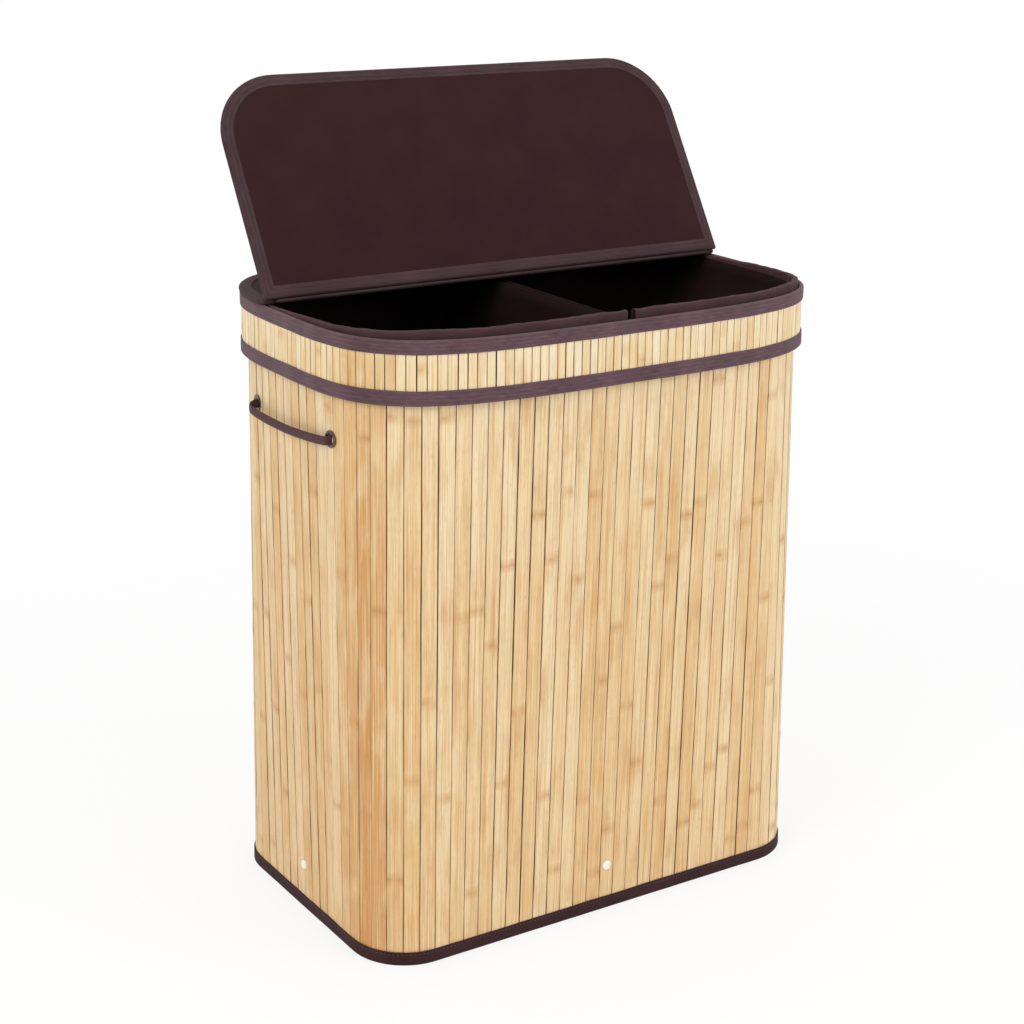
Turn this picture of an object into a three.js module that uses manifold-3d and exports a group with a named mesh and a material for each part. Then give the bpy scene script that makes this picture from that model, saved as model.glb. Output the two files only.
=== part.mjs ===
// Laundry hamper with two bins: a tube of bamboo slats, two cloth liners, and a collar lid with a
// hinged flap. Millimetres. +X is the right side seen from the front, +Y the back, +Z up. The origin
// is the middle of the foot, on the floor. The lid's flap stands open, as it is used.
import * as THREE from "three";
import { mergeVertices } from "three/addons/utils/BufferGeometryUtils.js";
import Module from "manifold-3d";

const wasm = await Module();
wasm.setup();

// Fits
const clearance = 0.3; // between pieces that are glued, sewn or seated on each other
const overrun = 2; // how far a cutting tool runs past what it cuts

// Body: the tube of slats
const rimWidth = 533.5;
const rimDepth = 360;
const widthFlare = 16.5; // how much wider the rim is than the foot
const depthFlare = 38;
const footWidth = rimWidth - widthFlare;
const footDepth = rimDepth - depthFlare;
const footCornerRadius = 58.5;
const rimSquareness = 3.9; // exponent of the rim's superellipse: the loose wall bellies out at the top
const wallTop = 614.4;
const slatThickness = 1.7;
const slatGrooveWidth = 1.2;
const slatGrooveDepth = 1.2;
const slatCount = 88;
const flatFacetSlats = 2;
const cornerFacetSlats = 1;
const twistedSlats = 2; // slats beside each foot corner that the loosening wall turns as well
const backingThickness = 0.6;
const bindingThickness = 0.6;
const footBindingHeight = 14;
const rimBindingHeight = 13;
const seamTapeWidth = 30;
const seamTapeThickness = 0.8;

// Base board and what pins it
const baseBoardThickness = 5;
const baseTabWidth = 84;
const baseTabHeight = 62;
const baseTabFoot = 34;
const baseTabThickness = 2;
const baseTabBendRadius = 5;
const rivetHeight = 48.5;
const rivetHeadRadius = 4.9;
const rivetHeadHeight = 2.2;
const rivetRimHeight = 0.6;
const rivetShankRadius = 2.4;
const rivetTail = 1.2; // shank length that shows past its lock cap
const rivetLockRadius = 6.2;
const rivetLockThickness = 2.6;

// Strap handles and their eyelets
const handleDrop = 44; // from the collar's lower edge down to the eyelets
const handleSpan = 154; // between the middles of the two eyelets
const strapWidth = 8;
const strapThickness = 3.4;
const strapReach = 5.8; // from the wall to the middle of the strap, beside the eyelets
const strapBulge = 3; // how much further out the strap's middle hangs
const strapDroop = 7;
const handleTravel = 12;
const knotRadius = 6.4;
const knotThickness = 6;
const eyeletBore = 4.7;
const eyeletBarrelWall = 0.6;
const eyeletFlangeRadius = 8.4;
const eyeletFlangeThickness = 1;
const eyeletSeat = 0.8; // flat flange to the curved wall
const eyeletTilt = 1; // room between the knot, pulled out, and the tilted flange

// Liners
const linerThickness = 1;
const linerFloor = 7.8; // underside of the bags
const linerInset = 25.5; // bag to the wall's outer face, below the flare
const linerFloorInset = 36;
const linerFloorRise = 13; // height of the rounded edge at the bag's floor
const linerFlareDrop = 60; // from the rim down to where the bags start to flare
const linerMouthDrop = 18.5;
const linerTopDrop = 6.5;
const linerCornerRadius = 14;
const frameWireRadius = 1.75;
const cuffThickness = 0.6;
const cuffLoft = 8.5; // how much higher the soft cuffs bulge at the front, where no board presses them
const cuffOuterDrop = 19; // how far the cuff hangs outside the rim
const cuffInnerDrop = 24;
const notchWidth = 13; // between the two cuffs, for the divider's hooks

// Divider
const dividerRodRadius = 2;
const dividerRodDrop = 3.8; // from the rim down to the middle of the rod
const dividerHookWidth = 8;
const dividerHookThickness = 1.2;
const dividerHookDrop = 11;
const sleeveThickness = 1;
const sleeveSkirt = 24;

// Lid collar
const collarBottom = 559;
const collarTop = 620;
const handleHeight = collarBottom - handleDrop;
const collarGap = 1.4; // collar's lining to the liners' cuffs, beyond the facets of both
const collarSlatCount = 144;
const collarFlatFacetSlats = 3;
const collarCornerFacetSlats = 2;
const collarSlatThickness = 1.6;
const collarLowerBinding = 14.5;
const collarUpperBinding = 13;

// Lid boards: the fixed rear board and the flap, alike in section
const boardThickness = 2;
const boardClothThickness = 0.4;
const boardBindingThickness = 0.6;
const boardBindingWidth = 12;
const boardOverhang = 1.2; // rear board's binding past the collar's binding
const hingeY = 38;
const hingeRise = 1; // hinge above the middle of the boards' thickness
const hingeFoldRadius = 1.6;
const hingeFoldTuck = 1.5; // from the hinge to the middle of the fold's edge, sewn under the rear board's
const hingeFoldSlant = 37; // degrees that the fold falls towards the rear board
const rearHingeGap = 3.3; // hinge to the rear board, on whose edge the open flap leans
const flapSideOverhang = 6.25; // flap's side edges outside the rim, as the rear board's
const flapFrontOverhang = 18;
const flapWidth = rimWidth + 2 * flapSideOverhang;
const flapLength = hingeY + rimDepth / 2 + flapFrontOverhang;
const flapCornerRadius = 70;
const flapOpening = 121.5; // degrees from shut
const seamClothWidth = 236;
const seamClothThickness = 0.8;
const seamClothLap = 13;

// Segments
const lidCornerSegments = 6;
const lineSegments = 4000;
const roundSegments = 12;
const strapSegments = 26;
const knotRows = 6;
const wireSides = 6;
const linerCornerSegments = 3;

// Materials
const finish = (color, roughness, metalness = 0) =>
  new THREE.MeshStandardMaterial({ color, roughness, metalness });
const bamboo = finish(0xd9b27c, 0.55);
const bambooPale = finish(0xe0c08c, 0.55);
const bindingCloth = finish(0x4f3a42, 0.85);
const linerCloth = finish(0x35242a, 0.9);
const lidCloth = finish(0x3b2729, 0.88);
const backingCloth = finish(0x46333a, 0.9);
const fibreboard = finish(0x7d5d3c, 0.8);
const whitePlastic = finish(0xf1efea, 0.4);
const nickel = finish(0xb9bbbd, 0.3, 1);
const wire = finish(0x8a8d90, 0.35, 1);

const hamper = new THREE.Group();
const lid = new THREE.Group();
const flap = new THREE.Group();
hamper.add(lid);
lid.add(flap);

function add(group, name, geometry, material) {
  const mesh = new THREE.Mesh(geometry, material);
  mesh.name = name;
  group.add(mesh);
  return mesh;
}

// Booleans on closed geometries
function solidOf(geometry) {
  const bare = new THREE.BufferGeometry();
  bare.setAttribute("position", geometry.getAttribute("position"));
  bare.setIndex(geometry.getIndex());
  const merged = mergeVertices(bare, 1e-4);
  return new wasm.Manifold(
    new wasm.Mesh({
      numProp: 3,
      vertProperties: merged.attributes.position.array,
      triVerts: new Uint32Array(merged.index.array),
    }),
  );
}

function geometryOf(solid) {
  const mesh = solid.getMesh();
  const geometry = new THREE.BufferGeometry();
  geometry.setAttribute("position", new THREE.BufferAttribute(mesh.vertProperties, 3));
  geometry.setIndex(new THREE.BufferAttribute(mesh.triVerts, 1));
  return geometry;
}

const cut = (geometry, tools) =>
  geometryOf(tools.reduce((rest, tool) => rest.subtract(solidOf(tool)), solidOf(geometry)));
const join = (pieces) =>
  geometryOf(pieces.slice(1).reduce((sum, piece) => sum.add(solidOf(piece)), solidOf(pieces[0])));

// Outlines in plan, counter-clockwise from the middle of the front
function roundedRectangle(width, depth, radius) {
  const [x, y] = [width / 2 - radius, depth / 2 - radius];
  const quarter = Math.PI / 2;
  const path = new THREE.Path();
  path.moveTo(0, -depth / 2);
  path.lineTo(x, -depth / 2);
  path.absarc(x, -y, radius, -quarter, 0);
  path.absarc(x, y, radius, 0, quarter);
  path.absarc(-x, y, radius, quarter, 2 * quarter);
  path.absarc(-x, -y, radius, 2 * quarter, 3 * quarter);
  path.lineTo(0, -depth / 2);
  return path;
}

class Superellipse extends THREE.Curve {
  constructor(width, depth, squareness) {
    super();
    Object.assign(this, { width, depth, squareness });
    this.arcLengthDivisions = lineSegments;
  }

  getPoint(t) {
    const angle = 2 * Math.PI * (t - 1 / 4);
    const [c, s] = [Math.cos(angle), Math.sin(angle)];
    const along = (value) => Math.sign(value) * Math.abs(value) ** (2 / this.squareness);
    return new THREE.Vector2((this.width / 2) * along(c), (this.depth / 2) * along(s));
  }
}

// Moves each side of a closed outline outwards by the same distance, with mitred corners.
function offsetOutline(outline, distance) {
  const count = outline.length;
  const sideNormal = (i) => {
    const side = outline[(i + 1) % count].clone().sub(outline[i % count]).normalize();
    return new THREE.Vector2(side.y, -side.x);
  };
  return outline.map((point, i) => {
    const [before, after] = [sideNormal(i + count - 1), sideNormal(i)];
    const mitre = before.clone().add(after).normalize();
    return point.clone().addScaledVector(mitre, distance / mitre.dot(after));
  });
}

const atHeight = (outline, z) => outline.map((point) => new THREE.Vector3(point.x, point.y, z));

// Splits a facet from its lower left to its upper right corner, on a wall's inside as on its outside,
// so that a twisted wall keeps its thickness. The corners a, b, c and d go round the facet.
const facet = (vertices, a, b, c, d) =>
  vertices[d].z < vertices[a].z ? [a, b, d, b, c, d] : [a, b, c, a, c, d];

// Joins rings of equal point count into one closed skin. Rings run up the outside and down the inside.
// A closed path has rings that meet themselves; an open one is capped at both ends.
function sweptSection(rings, closedPath) {
  const [rows, columns] = [rings.length, rings[0].length];
  const vertices = rings.flat();
  const triangles = [];
  for (let j = 0; j < rows; j += 1) {
    const above = (j + 1) % rows;
    for (let i = 0; i < (closedPath ? columns : columns - 1); i += 1) {
      const next = (i + 1) % columns;
      const [a, b] = [j * columns + i, j * columns + next];
      const [c, d] = [above * columns + next, above * columns + i];
      triangles.push(...facet(vertices, a, b, c, d));
    }
  }
  if (!closedPath) {
    const cap = (column, turned) => {
      const corners = rings.map((ring) => ring[column]);
      const low = corners[0];
      const away = low.clone().sub(corners[corners.length - 1]).setZ(0).normalize();
      const flat = corners.map((corner) => new THREE.Vector2(corner.clone().sub(low).dot(away), corner.z));
      for (const [p, q, r] of THREE.ShapeUtils.triangulateShape(flat, [])) {
        const ids = [p, q, r].map((row) => row * columns + column);
        triangles.push(...(turned ? ids.reverse() : ids));
      }
    };
    cap(0, false);
    cap(columns - 1, true);
  }
  return indexed(vertices, triangles);
}

// A skin through rings from one closed end to the other, such as a bag's from its floor up, over its
// mouth and down inside.
function cappedSkin(rings) {
  const columns = rings[0].length;
  const vertices = rings.flat();
  const triangles = [];
  for (let j = 0; j + 1 < rings.length; j += 1) {
    for (let i = 0; i < columns; i += 1) {
      const next = (i + 1) % columns;
      const [a, b] = [j * columns + i, j * columns + next];
      const [c, d] = [(j + 1) * columns + next, (j + 1) * columns + i];
      triangles.push(...facet(vertices, a, b, c, d));
    }
  }
  const lastRow = (rings.length - 1) * columns;
  const faces = (ring) => THREE.ShapeUtils.triangulateShape(ring, []);
  for (const [p, q, r] of faces(rings[0])) triangles.push(r, q, p);
  for (const [p, q, r] of faces(rings[rings.length - 1])) {
    triangles.push(lastRow + p, lastRow + q, lastRow + r);
  }
  return indexed(vertices, triangles);
}

function indexed(vertices, triangles) {
  const geometry = new THREE.BufferGeometry();
  geometry.setFromPoints(vertices);
  geometry.setIndex(triangles);
  return geometry;
}

// A ruled tube between an outside and an inside whose rings have different point counts.
function ruledTube(outerLow, outerHigh, innerLow, innerHigh) {
  const vertices = [...outerLow, ...outerHigh, ...innerLow, ...innerHigh];
  const [outer, inner] = [outerLow.length, innerLow.length];
  const triangles = [];
  const side = (low, high, count, turned) => {
    for (let i = 0; i < count; i += 1) {
      const next = (i + 1) % count;
      const quad = [low + i, low + next, high + next, low + i, high + next, high + i];
      triangles.push(...(turned ? quad.reverse() : quad));
    }
  };
  side(0, outer, outer, false);
  side(2 * outer, 2 * outer + inner, inner, true);
  const end = (outerStart, innerStart, outline, hole, turned) => {
    const place = (k) => (k < outer ? outerStart + k : innerStart + k - outer);
    for (const face of THREE.ShapeUtils.triangulateShape(outline, [hole])) {
      const ids = face.map(place);
      triangles.push(...(turned ? ids.reverse() : ids));
    }
  };
  end(0, 2 * outer, outerLow, innerLow, true);
  end(outer, 2 * outer + inner, outerHigh, innerHigh, false);
  return indexed(vertices, triangles);
}

// A wall of slats on a plan outline. Places along it are counted in slats from the middle of its
// front, where a slat is centred; its facets hold a few slats on the flats and fewer at the corners.
class SlatWall {
  constructor(outlineAt, slats, flatFacet, cornerFacet, cornerStartShare, cornerEndShare) {
    Object.assign(this, { outlineAt, slats });
    const quarter = slats / 4;
    const [cornerStart, cornerEnd] = [cornerStartShare * quarter, cornerEndShare * quarter];
    const first = [];
    for (let place = 1 / 2; place < quarter; ) {
      first.push(place);
      const inCorner = place + flatFacet > cornerStart && place < cornerEnd;
      place += inCorner ? cornerFacet : flatFacet;
    }
    if (first[first.length - 1] < quarter - 1 / 2) first.push(quarter - 1 / 2);
    const back = first.map((place) => slats / 2 - place).reverse();
    this.places = [...first, ...back];
    this.places.push(...this.places.map((place) => place + slats / 2));
  }

  outline(z, out = 0) {
    return offsetOutline(this.places.map((place) => this.outlineAt(place / this.slats, z)), out);
  }

  ring(z, out) {
    return atHeight(this.outline(z, out), z);
  }

  // A point on a ring of this wall, at any place.
  on(ring, place) {
    const count = this.places.length;
    const around = ((place % this.slats) + this.slats) % this.slats;
    const after = this.places.findIndex((station) => station > around);
    const [from, to] = [after === -1 ? count - 1 : (after + count - 1) % count, after === -1 ? 0 : after];
    const length = (this.places[to] - this.places[from] + this.slats) % this.slats;
    const gone = (around - this.places[from] + this.slats) % this.slats;
    return ring[from].clone().lerp(ring[to], gone / length);
  }

  point(place, z, out) {
    return this.on(this.ring(z, out), place);
  }

  normal(place, z) {
    const step = 1 / 4;
    const along = this.point(place + step, z, 0).sub(this.point(place - step, z, 0)).normalize();
    return new THREE.Vector3(along.y, -along.x, 0);
  }

  // The part of a ring between two places, counter-clockwise.
  stretch(z, out, from, to) {
    const ring = this.ring(z, out);
    const between = this.places
      .flatMap((station) => [station, station + this.slats])
      .filter((station) => station > from && station < to)
      .sort((a, b) => a - b);
    return [from, ...between, to].map((place) => this.on(ring, place));
  }

  band(section) {
    return sweptSection(section.map(([out, z]) => this.ring(z, out)), true);
  }

  openBand(section, from, to) {
    return sweptSection(section.map(([out, z]) => this.stretch(z, out, from, to)), false);
  }

  // The outside of the slats at one height, with a groove between each two.
  groovedRing(z, pitch, grooveWidth, grooveDepth) {
    const [face, floor] = [this.ring(z, 0), this.ring(z, -grooveDepth)];
    const lip = grooveWidth / 2 / pitch;
    const points = [];
    for (let slat = 0; slat < this.slats; slat += 1) {
      const edge = slat + 1 / 2;
      points.push(this.on(face, edge - lip), this.on(floor, edge), this.on(face, edge + lip));
    }
    return points;
  }

  slatTube(low, high, pitch, grooveWidth, grooveDepth, thickness) {
    return ruledTube(
      this.groovedRing(low, pitch, grooveWidth, grooveDepth),
      this.groovedRing(high, pitch, grooveWidth, grooveDepth),
      this.ring(low, -thickness),
      this.ring(high, -thickness),
    );
  }
}

// The section of a cloth binding folded over an edge, whose outside lies at from and inside at to.
function bindingSection(from, to, edge, drop, thickness) {
  const away = Math.sign(drop);
  const [outer, inner] = [from + clearance, to - clearance];
  const [closed, tip] = [edge - away * clearance, edge + drop];
  const web = closed - away * thickness;
  const section = [
    [outer + thickness, web],
    [outer + thickness, tip],
    [outer, tip],
    [outer, closed],
    [inner, closed],
    [inner, tip],
    [inner - thickness, tip],
    [inner - thickness, web],
  ];
  return drop > 0 ? section : section.reverse();
}

// Body wall
const foot = roundedRectangle(footWidth, footDepth, footCornerRadius);
const rim = new Superellipse(rimWidth, rimDepth, rimSquareness);
const wallOutline = (share, z) =>
  foot.getPoint(share % 1).lerp(rim.getPointAt(share % 1), z / wallTop);
const footQuarter = foot.getLength() / 4;
const twistShare = twistedSlats / (slatCount / 4);
const cornerStartShare = (footWidth / 2 - footCornerRadius) / footQuarter;
const cornerEndShare = 1 - (footDepth / 2 - footCornerRadius) / footQuarter;
const wall = new SlatWall(
  wallOutline,
  slatCount,
  flatFacetSlats,
  cornerFacetSlats,
  cornerStartShare - twistShare,
  cornerEndShare + twistShare,
);
const slatPitch = foot.getLength() / slatCount;
const wallThickness = slatThickness + clearance + backingThickness;
const slatBottom = bindingThickness + clearance;
const [rightSide, backMiddle, leftSide] = [slatCount / 4, slatCount / 2, (3 * slatCount) / 4];
const sides = [
  ["front", 0],
  ["right", rightSide],
  ["back", backMiddle],
  ["left", leftSide],
];

// A geometry revolved round Y is turned so that Y points outwards at a place on the wall, and set there.
function seatOnWall(geometry, place, z, out) {
  const turn = new THREE.Quaternion().setFromUnitVectors(new THREE.Vector3(0, 1, 0), wall.normal(place, z));
  const seat = wall.point(place, z, out);
  return geometry.clone().applyQuaternion(turn).translate(seat.x, seat.y, seat.z);
}

const revolved = (profile) =>
  new THREE.LatheGeometry(profile.map(([r, y]) => new THREE.Vector2(r, y)), roundSegments);

const boreTool = (radius) => {
  const length = 2 * (wallThickness + overrun);
  return new THREE.CylinderGeometry(radius, radius, length, roundSegments);
};

const halfSpan = handleSpan / 2 / slatPitch;
const eyelets = [
  ["left", "front", leftSide + halfSpan],
  ["left", "rear", leftSide - halfSpan],
  ["right", "front", rightSide - halfSpan],
  ["right", "rear", rightSide + halfSpan],
];
const eyeletBarrel = eyeletBore + eyeletBarrelWall;
const wallHoles = [
  ...sides.map(([, place]) => seatOnWall(boreTool(rivetShankRadius + clearance), place, rivetHeight, 0)),
  ...eyelets.map(([, , place]) => seatOnWall(boreTool(eyeletBarrel + clearance), place, handleHeight, 0)),
];

const slats = wall.slatTube(
  slatBottom,
  wallTop,
  slatPitch,
  slatGrooveWidth,
  slatGrooveDepth,
  slatThickness,
);
add(hamper, "wall_slats", cut(slats, wallHoles), bamboo);

const backing = wall.band([
  [-slatThickness - clearance, slatBottom],
  [-slatThickness - clearance, wallTop],
  [-wallThickness, wallTop],
  [-wallThickness, slatBottom],
]);
add(hamper, "wall_backing", cut(backing, wallHoles), backingCloth);

const footDrop = footBindingHeight - slatBottom;
const footBinding = bindingSection(0, -wallThickness, slatBottom, footDrop, bindingThickness);
add(hamper, "foot_binding", wall.band(footBinding), bindingCloth);
const rimBinding = bindingSection(0, -wallThickness, wallTop, -rimBindingHeight, bindingThickness);
add(hamper, "rim_binding", wall.band(rimBinding), bindingCloth);
const rimBindingTop = wallTop + clearance + bindingThickness;
const bindingInside = -wallThickness - clearance - bindingThickness;

const seamHalf = seamTapeWidth / 2 / slatPitch;
const seamTape = wall.openBand(
  [
    [-wallThickness - clearance, footBindingHeight + clearance],
    [-wallThickness - clearance, wallTop - rimBindingHeight - clearance],
    [-wallThickness - clearance - seamTapeThickness, wallTop - rimBindingHeight - clearance],
    [-wallThickness - clearance - seamTapeThickness, footBindingHeight + clearance],
  ],
  backMiddle + 2 * seamHalf,
  backMiddle + 4 * seamHalf,
);
add(hamper, "wall_seam_tape", seamTape, backingCloth);

// Base board with a tab up each side, and the push rivets with their lock caps
const slab = (outline, low, thickness, holes = []) => {
  const shape = new THREE.Shape(outline);
  shape.holes.push(...holes);
  return new THREE.ExtrudeGeometry(shape, { depth: thickness, bevelEnabled: false }).translate(0, 0, low);
};
const baseInset = bindingInside - clearance;
add(hamper, "base_board", slab(wall.outline(0, baseInset), 0, baseBoardThickness), fibreboard);

const tabProfile = new THREE.Shape();
tabProfile.moveTo(0, 0);
tabProfile.lineTo(0, baseTabHeight);
tabProfile.lineTo(baseTabThickness, baseTabHeight);
tabProfile.lineTo(baseTabThickness, baseTabThickness + baseTabBendRadius);
tabProfile.quadraticCurveTo(
  baseTabThickness,
  baseTabThickness,
  baseTabThickness + baseTabBendRadius,
  baseTabThickness,
);
tabProfile.lineTo(baseTabFoot, baseTabThickness);
tabProfile.lineTo(baseTabFoot, 0);
const tabBlank = new THREE.ExtrudeGeometry(tabProfile, {
  depth: baseTabWidth,
  bevelEnabled: false,
  curveSegments: linerCornerSegments,
});
tabBlank.translate(0, 0, -baseTabWidth / 2).rotateX(Math.PI / 2);

const rivetGrip = (place) => {
  const outside = wall.point(place, rivetHeight, 0);
  const tabFace = wall.point(place, 0, baseInset - baseTabThickness);
  return outside.setZ(0).distanceTo(tabFace.setZ(0));
};
for (const [side, place] of sides) {
  const outward = wall.normal(place, 0);
  const seat = wall.point(place, 0, baseInset - clearance);
  const tab = tabBlank.clone().rotateZ(Math.atan2(-outward.y, -outward.x));
  tab.translate(seat.x, seat.y, baseBoardThickness);
  const hole = seatOnWall(boreTool(rivetShankRadius + clearance), place, rivetHeight, baseInset);
  add(hamper, `base_tab_${side}`, cut(tab, [hole]), fibreboard);

  const grip = rivetGrip(place) + 2 * clearance;
  const tail = -grip - clearance - rivetLockThickness - rivetTail;
  const rivet = revolved([
    [0, tail],
    [rivetShankRadius, tail],
    [rivetShankRadius, clearance],
    [rivetHeadRadius, clearance],
    [rivetHeadRadius, clearance + rivetRimHeight],
    [rivetHeadRadius / 2, rivetHeadHeight],
    [0, rivetHeadHeight],
  ]);
  add(hamper, `base_rivet_${side}`, seatOnWall(rivet, place, rivetHeight, 0), whitePlastic);
  const lock = revolved([
    [rivetShankRadius + clearance, -grip - rivetLockThickness],
    [rivetLockRadius, -grip - rivetLockThickness],
    [rivetLockRadius, -grip],
    [rivetShankRadius + clearance, -grip],
    [rivetShankRadius + clearance, -grip - rivetLockThickness],
  ]);
  add(hamper, `rivet_lock_${side}`, seatOnWall(lock, place, rivetHeight, 0), whitePlastic);
}

// Eyelets, and the straps that run through them to a knot on the inside
const eyeletOut = eyeletSeat + eyeletFlangeThickness;
const eyeletIn = -wallThickness - eyeletSeat - eyeletFlangeThickness;
const eyeletProfile = revolved([
  [eyeletBore, eyeletIn],
  [eyeletFlangeRadius, eyeletIn],
  [eyeletFlangeRadius, eyeletIn + eyeletFlangeThickness],
  [eyeletBarrel, eyeletIn + eyeletFlangeThickness],
  [eyeletBarrel, eyeletSeat],
  [eyeletFlangeRadius, eyeletSeat],
  [eyeletFlangeRadius - eyeletBarrelWall, eyeletOut],
  [eyeletBore, eyeletOut],
  [eyeletBore, eyeletIn],
]);
for (const [side, end, place] of eyelets) {
  add(hamper, `eyelet_${side}_${end}`, seatOnWall(eyeletProfile, place, handleHeight, 0), nickel);
}

const strapShape = new THREE.Shape(
  roundedRectangle(strapWidth, strapThickness, strapThickness / 2 - clearance / 2).getPoints(1),
);
function strap(side, place) {
  const hand = Math.sign(wall.normal(place, handleHeight).x);
  const eye = wall.point(place + halfSpan, handleHeight, 0);
  const middle = wall.point(place, handleHeight, 0);
  const [eyeX, middleX, eyeY] = [Math.abs(eye.x), Math.abs(middle.x), Math.abs(eye.y)];
  const knotX = eyeX + eyeletIn - eyeletTilt - handleTravel - knotThickness / 2;
  const bend = strapReach - eyeletOut;
  const turned = bend * Math.SQRT1_2;
  const half = [
    [knotX, eyeY, 0],
    [eyeX, eyeY, 0],
    [eyeX + eyeletOut, eyeY, 0],
    [eyeX + eyeletOut + turned, eyeY - bend + turned, 0],
    [eyeX + strapReach, eyeY - bend, 0],
    [(eyeX + middleX + strapBulge) / 2 + strapReach, eyeY / 2, (strapDroop * 3) / 4],
  ];
  const mirrored = half.map(([x, y, drop]) => [x, -y, drop]).reverse();
  const route = [...half, [middleX + strapReach + strapBulge, 0, strapDroop], ...mirrored];
  const points = route.map(([x, y, drop]) => new THREE.Vector3(hand * x, y, handleHeight - drop));
  const band = new THREE.ExtrudeGeometry(strapShape, {
    steps: strapSegments,
    extrudePath: new THREE.CatmullRomCurve3(points, false, "centripetal"),
    bevelEnabled: false,
  });
  const knot = (y) =>
    new THREE.SphereGeometry(knotRadius, roundSegments, knotRows)
      .rotateZ(Math.PI / 2)
      .scale(knotThickness / 2 / knotRadius, 1, 1)
      .translate(hand * knotX, y, handleHeight);
  return add(hamper, `handle_${side}`, join([band, knot(eyeY), knot(-eyeY)]), bindingCloth);
}
strap("left", leftSide);
strap("right", rightSide);

// Liners: two bags whose cuffs fold over the rim round a wire each, and a divider rod between them
const cuffInside = bindingInside - clearance - cuffThickness;
const linerMouthInset = -cuffInside + clearance;
const dividerRodHeight = wallTop - dividerRodDrop;
const sleeveHalf = dividerRodRadius + clearance + sleeveThickness;

// Half of the hamper's plan, right of the divider: the wall's outline moved in, and a straight side.
function binOutline(z, inset, dividerSide, cornerRadius) {
  const outline = wall.outline(z, -inset).filter((point) => point.x > dividerSide + cornerRadius);
  const right = outline.sort((a, b) => Math.atan2(a.y, a.x) - Math.atan2(b.y, b.x));
  const [front, back] = [right[0].y, right[right.length - 1].y];
  const centreX = dividerSide + cornerRadius;
  const corner = (centreY, start) =>
    Array.from({ length: linerCornerSegments + 1 }, (_, k) => {
      const angle = start + (k / linerCornerSegments) * (Math.PI / 2);
      return new THREE.Vector2(
        centreX + cornerRadius * Math.cos(angle),
        centreY + cornerRadius * Math.sin(angle),
      );
    });
  return [
    ...corner(front + cornerRadius, Math.PI),
    ...right,
    ...corner(back - cornerRadius, Math.PI / 2),
  ];
}

function bag() {
  const skin = (thickness) => {
    const [side, radius] = [sleeveHalf + clearance + thickness, linerCornerRadius - thickness];
    const level = (z, inset) => atHeight(binOutline(z, inset + thickness, side, radius), z);
    return [
      level(linerFloor + thickness, linerFloorInset),
      level(linerFloor + linerFloorRise, linerInset),
      level(wallTop - linerFlareDrop, linerInset),
      level(wallTop - linerMouthDrop, linerMouthInset),
      level(wallTop - linerTopDrop, linerMouthInset),
    ];
  };
  return cappedSkin([...skin(0), ...skin(linerThickness).reverse()]);
}

const mirrorX = (geometry) => {
  const mirrored = geometry.clone().scale(-1, 1, 1);
  const index = mirrored.getIndex().array;
  for (let i = 0; i < index.length; i += 3) [index[i], index[i + 1]] = [index[i + 1], index[i]];
  return mirrored;
};
const rightBag = bag();
add(hamper, "liner_right", rightBag, linerCloth);
add(hamper, "liner_left", mirrorX(rightBag), linerCloth);

const wireCentre = rimBindingTop + clearance + frameWireRadius;
const wireTop = wireCentre + frameWireRadius;
const wireOut = -wallThickness / 2;
const notchHalf = notchWidth / 2 / slatPitch;
const [cuffStart, cuffEnd] = [notchHalf, backMiddle - notchHalf];
const wireSection = Array.from({ length: wireSides }, (_, k) => {
  const angle = ((k + 1 / 2) / wireSides) * 2 * Math.PI;
  return [wireOut + frameWireRadius * Math.cos(angle), wireCentre + frameWireRadius * Math.sin(angle)];
});
const rightWire = wall.openBand(wireSection, cuffStart, cuffEnd);
add(hamper, "liner_frame_right", rightWire, wire);
add(hamper, "liner_frame_left", mirrorX(rightWire), wire);

const cuffTop = wireTop + clearance + cuffThickness;
const cuffOuter = bindingThickness + 2 * clearance + cuffThickness;

// Rows of the cuff's section: how far out, how high, and what share of the loft the row takes.
function cuffSection() {
  const arch = (out, inn, top) => {
    const lean = (out - inn) / 4;
    return [
      [out, wireCentre, 1],
      [out - lean, top, 1],
      [inn + lean, top, 1],
      [inn, wireCentre, 1],
    ];
  };
  const outside = arch(cuffOuter, cuffInside, cuffTop);
  const inside = arch(cuffOuter - cuffThickness, cuffInside + cuffThickness, wireTop + clearance);
  return [
    [cuffOuter, wallTop - cuffOuterDrop, 0],
    ...outside,
    [cuffInside, wallTop - cuffInnerDrop, 0],
    [cuffInside + cuffThickness, wallTop - cuffInnerDrop, 0],
    ...inside.reverse(),
    [cuffOuter - cuffThickness, wallTop - cuffOuterDrop, 0],
  ];
}
const loftAt = (y) => (cuffLoft * Math.max(hingeY - y, 0)) / (hingeY + rimDepth / 2);
const cuffRows = cuffSection().map(([out, z, loftShare]) =>
  wall
    .stretch(z, out, cuffStart, cuffEnd)
    .map((point) => point.setZ(z + loftShare * loftAt(point.y))),
);
const rightCuff = sweptSection(cuffRows, false);
add(hamper, "liner_cuff_right", rightCuff, linerCloth);
add(hamper, "liner_cuff_left", mirrorX(rightCuff), linerCloth);

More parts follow.
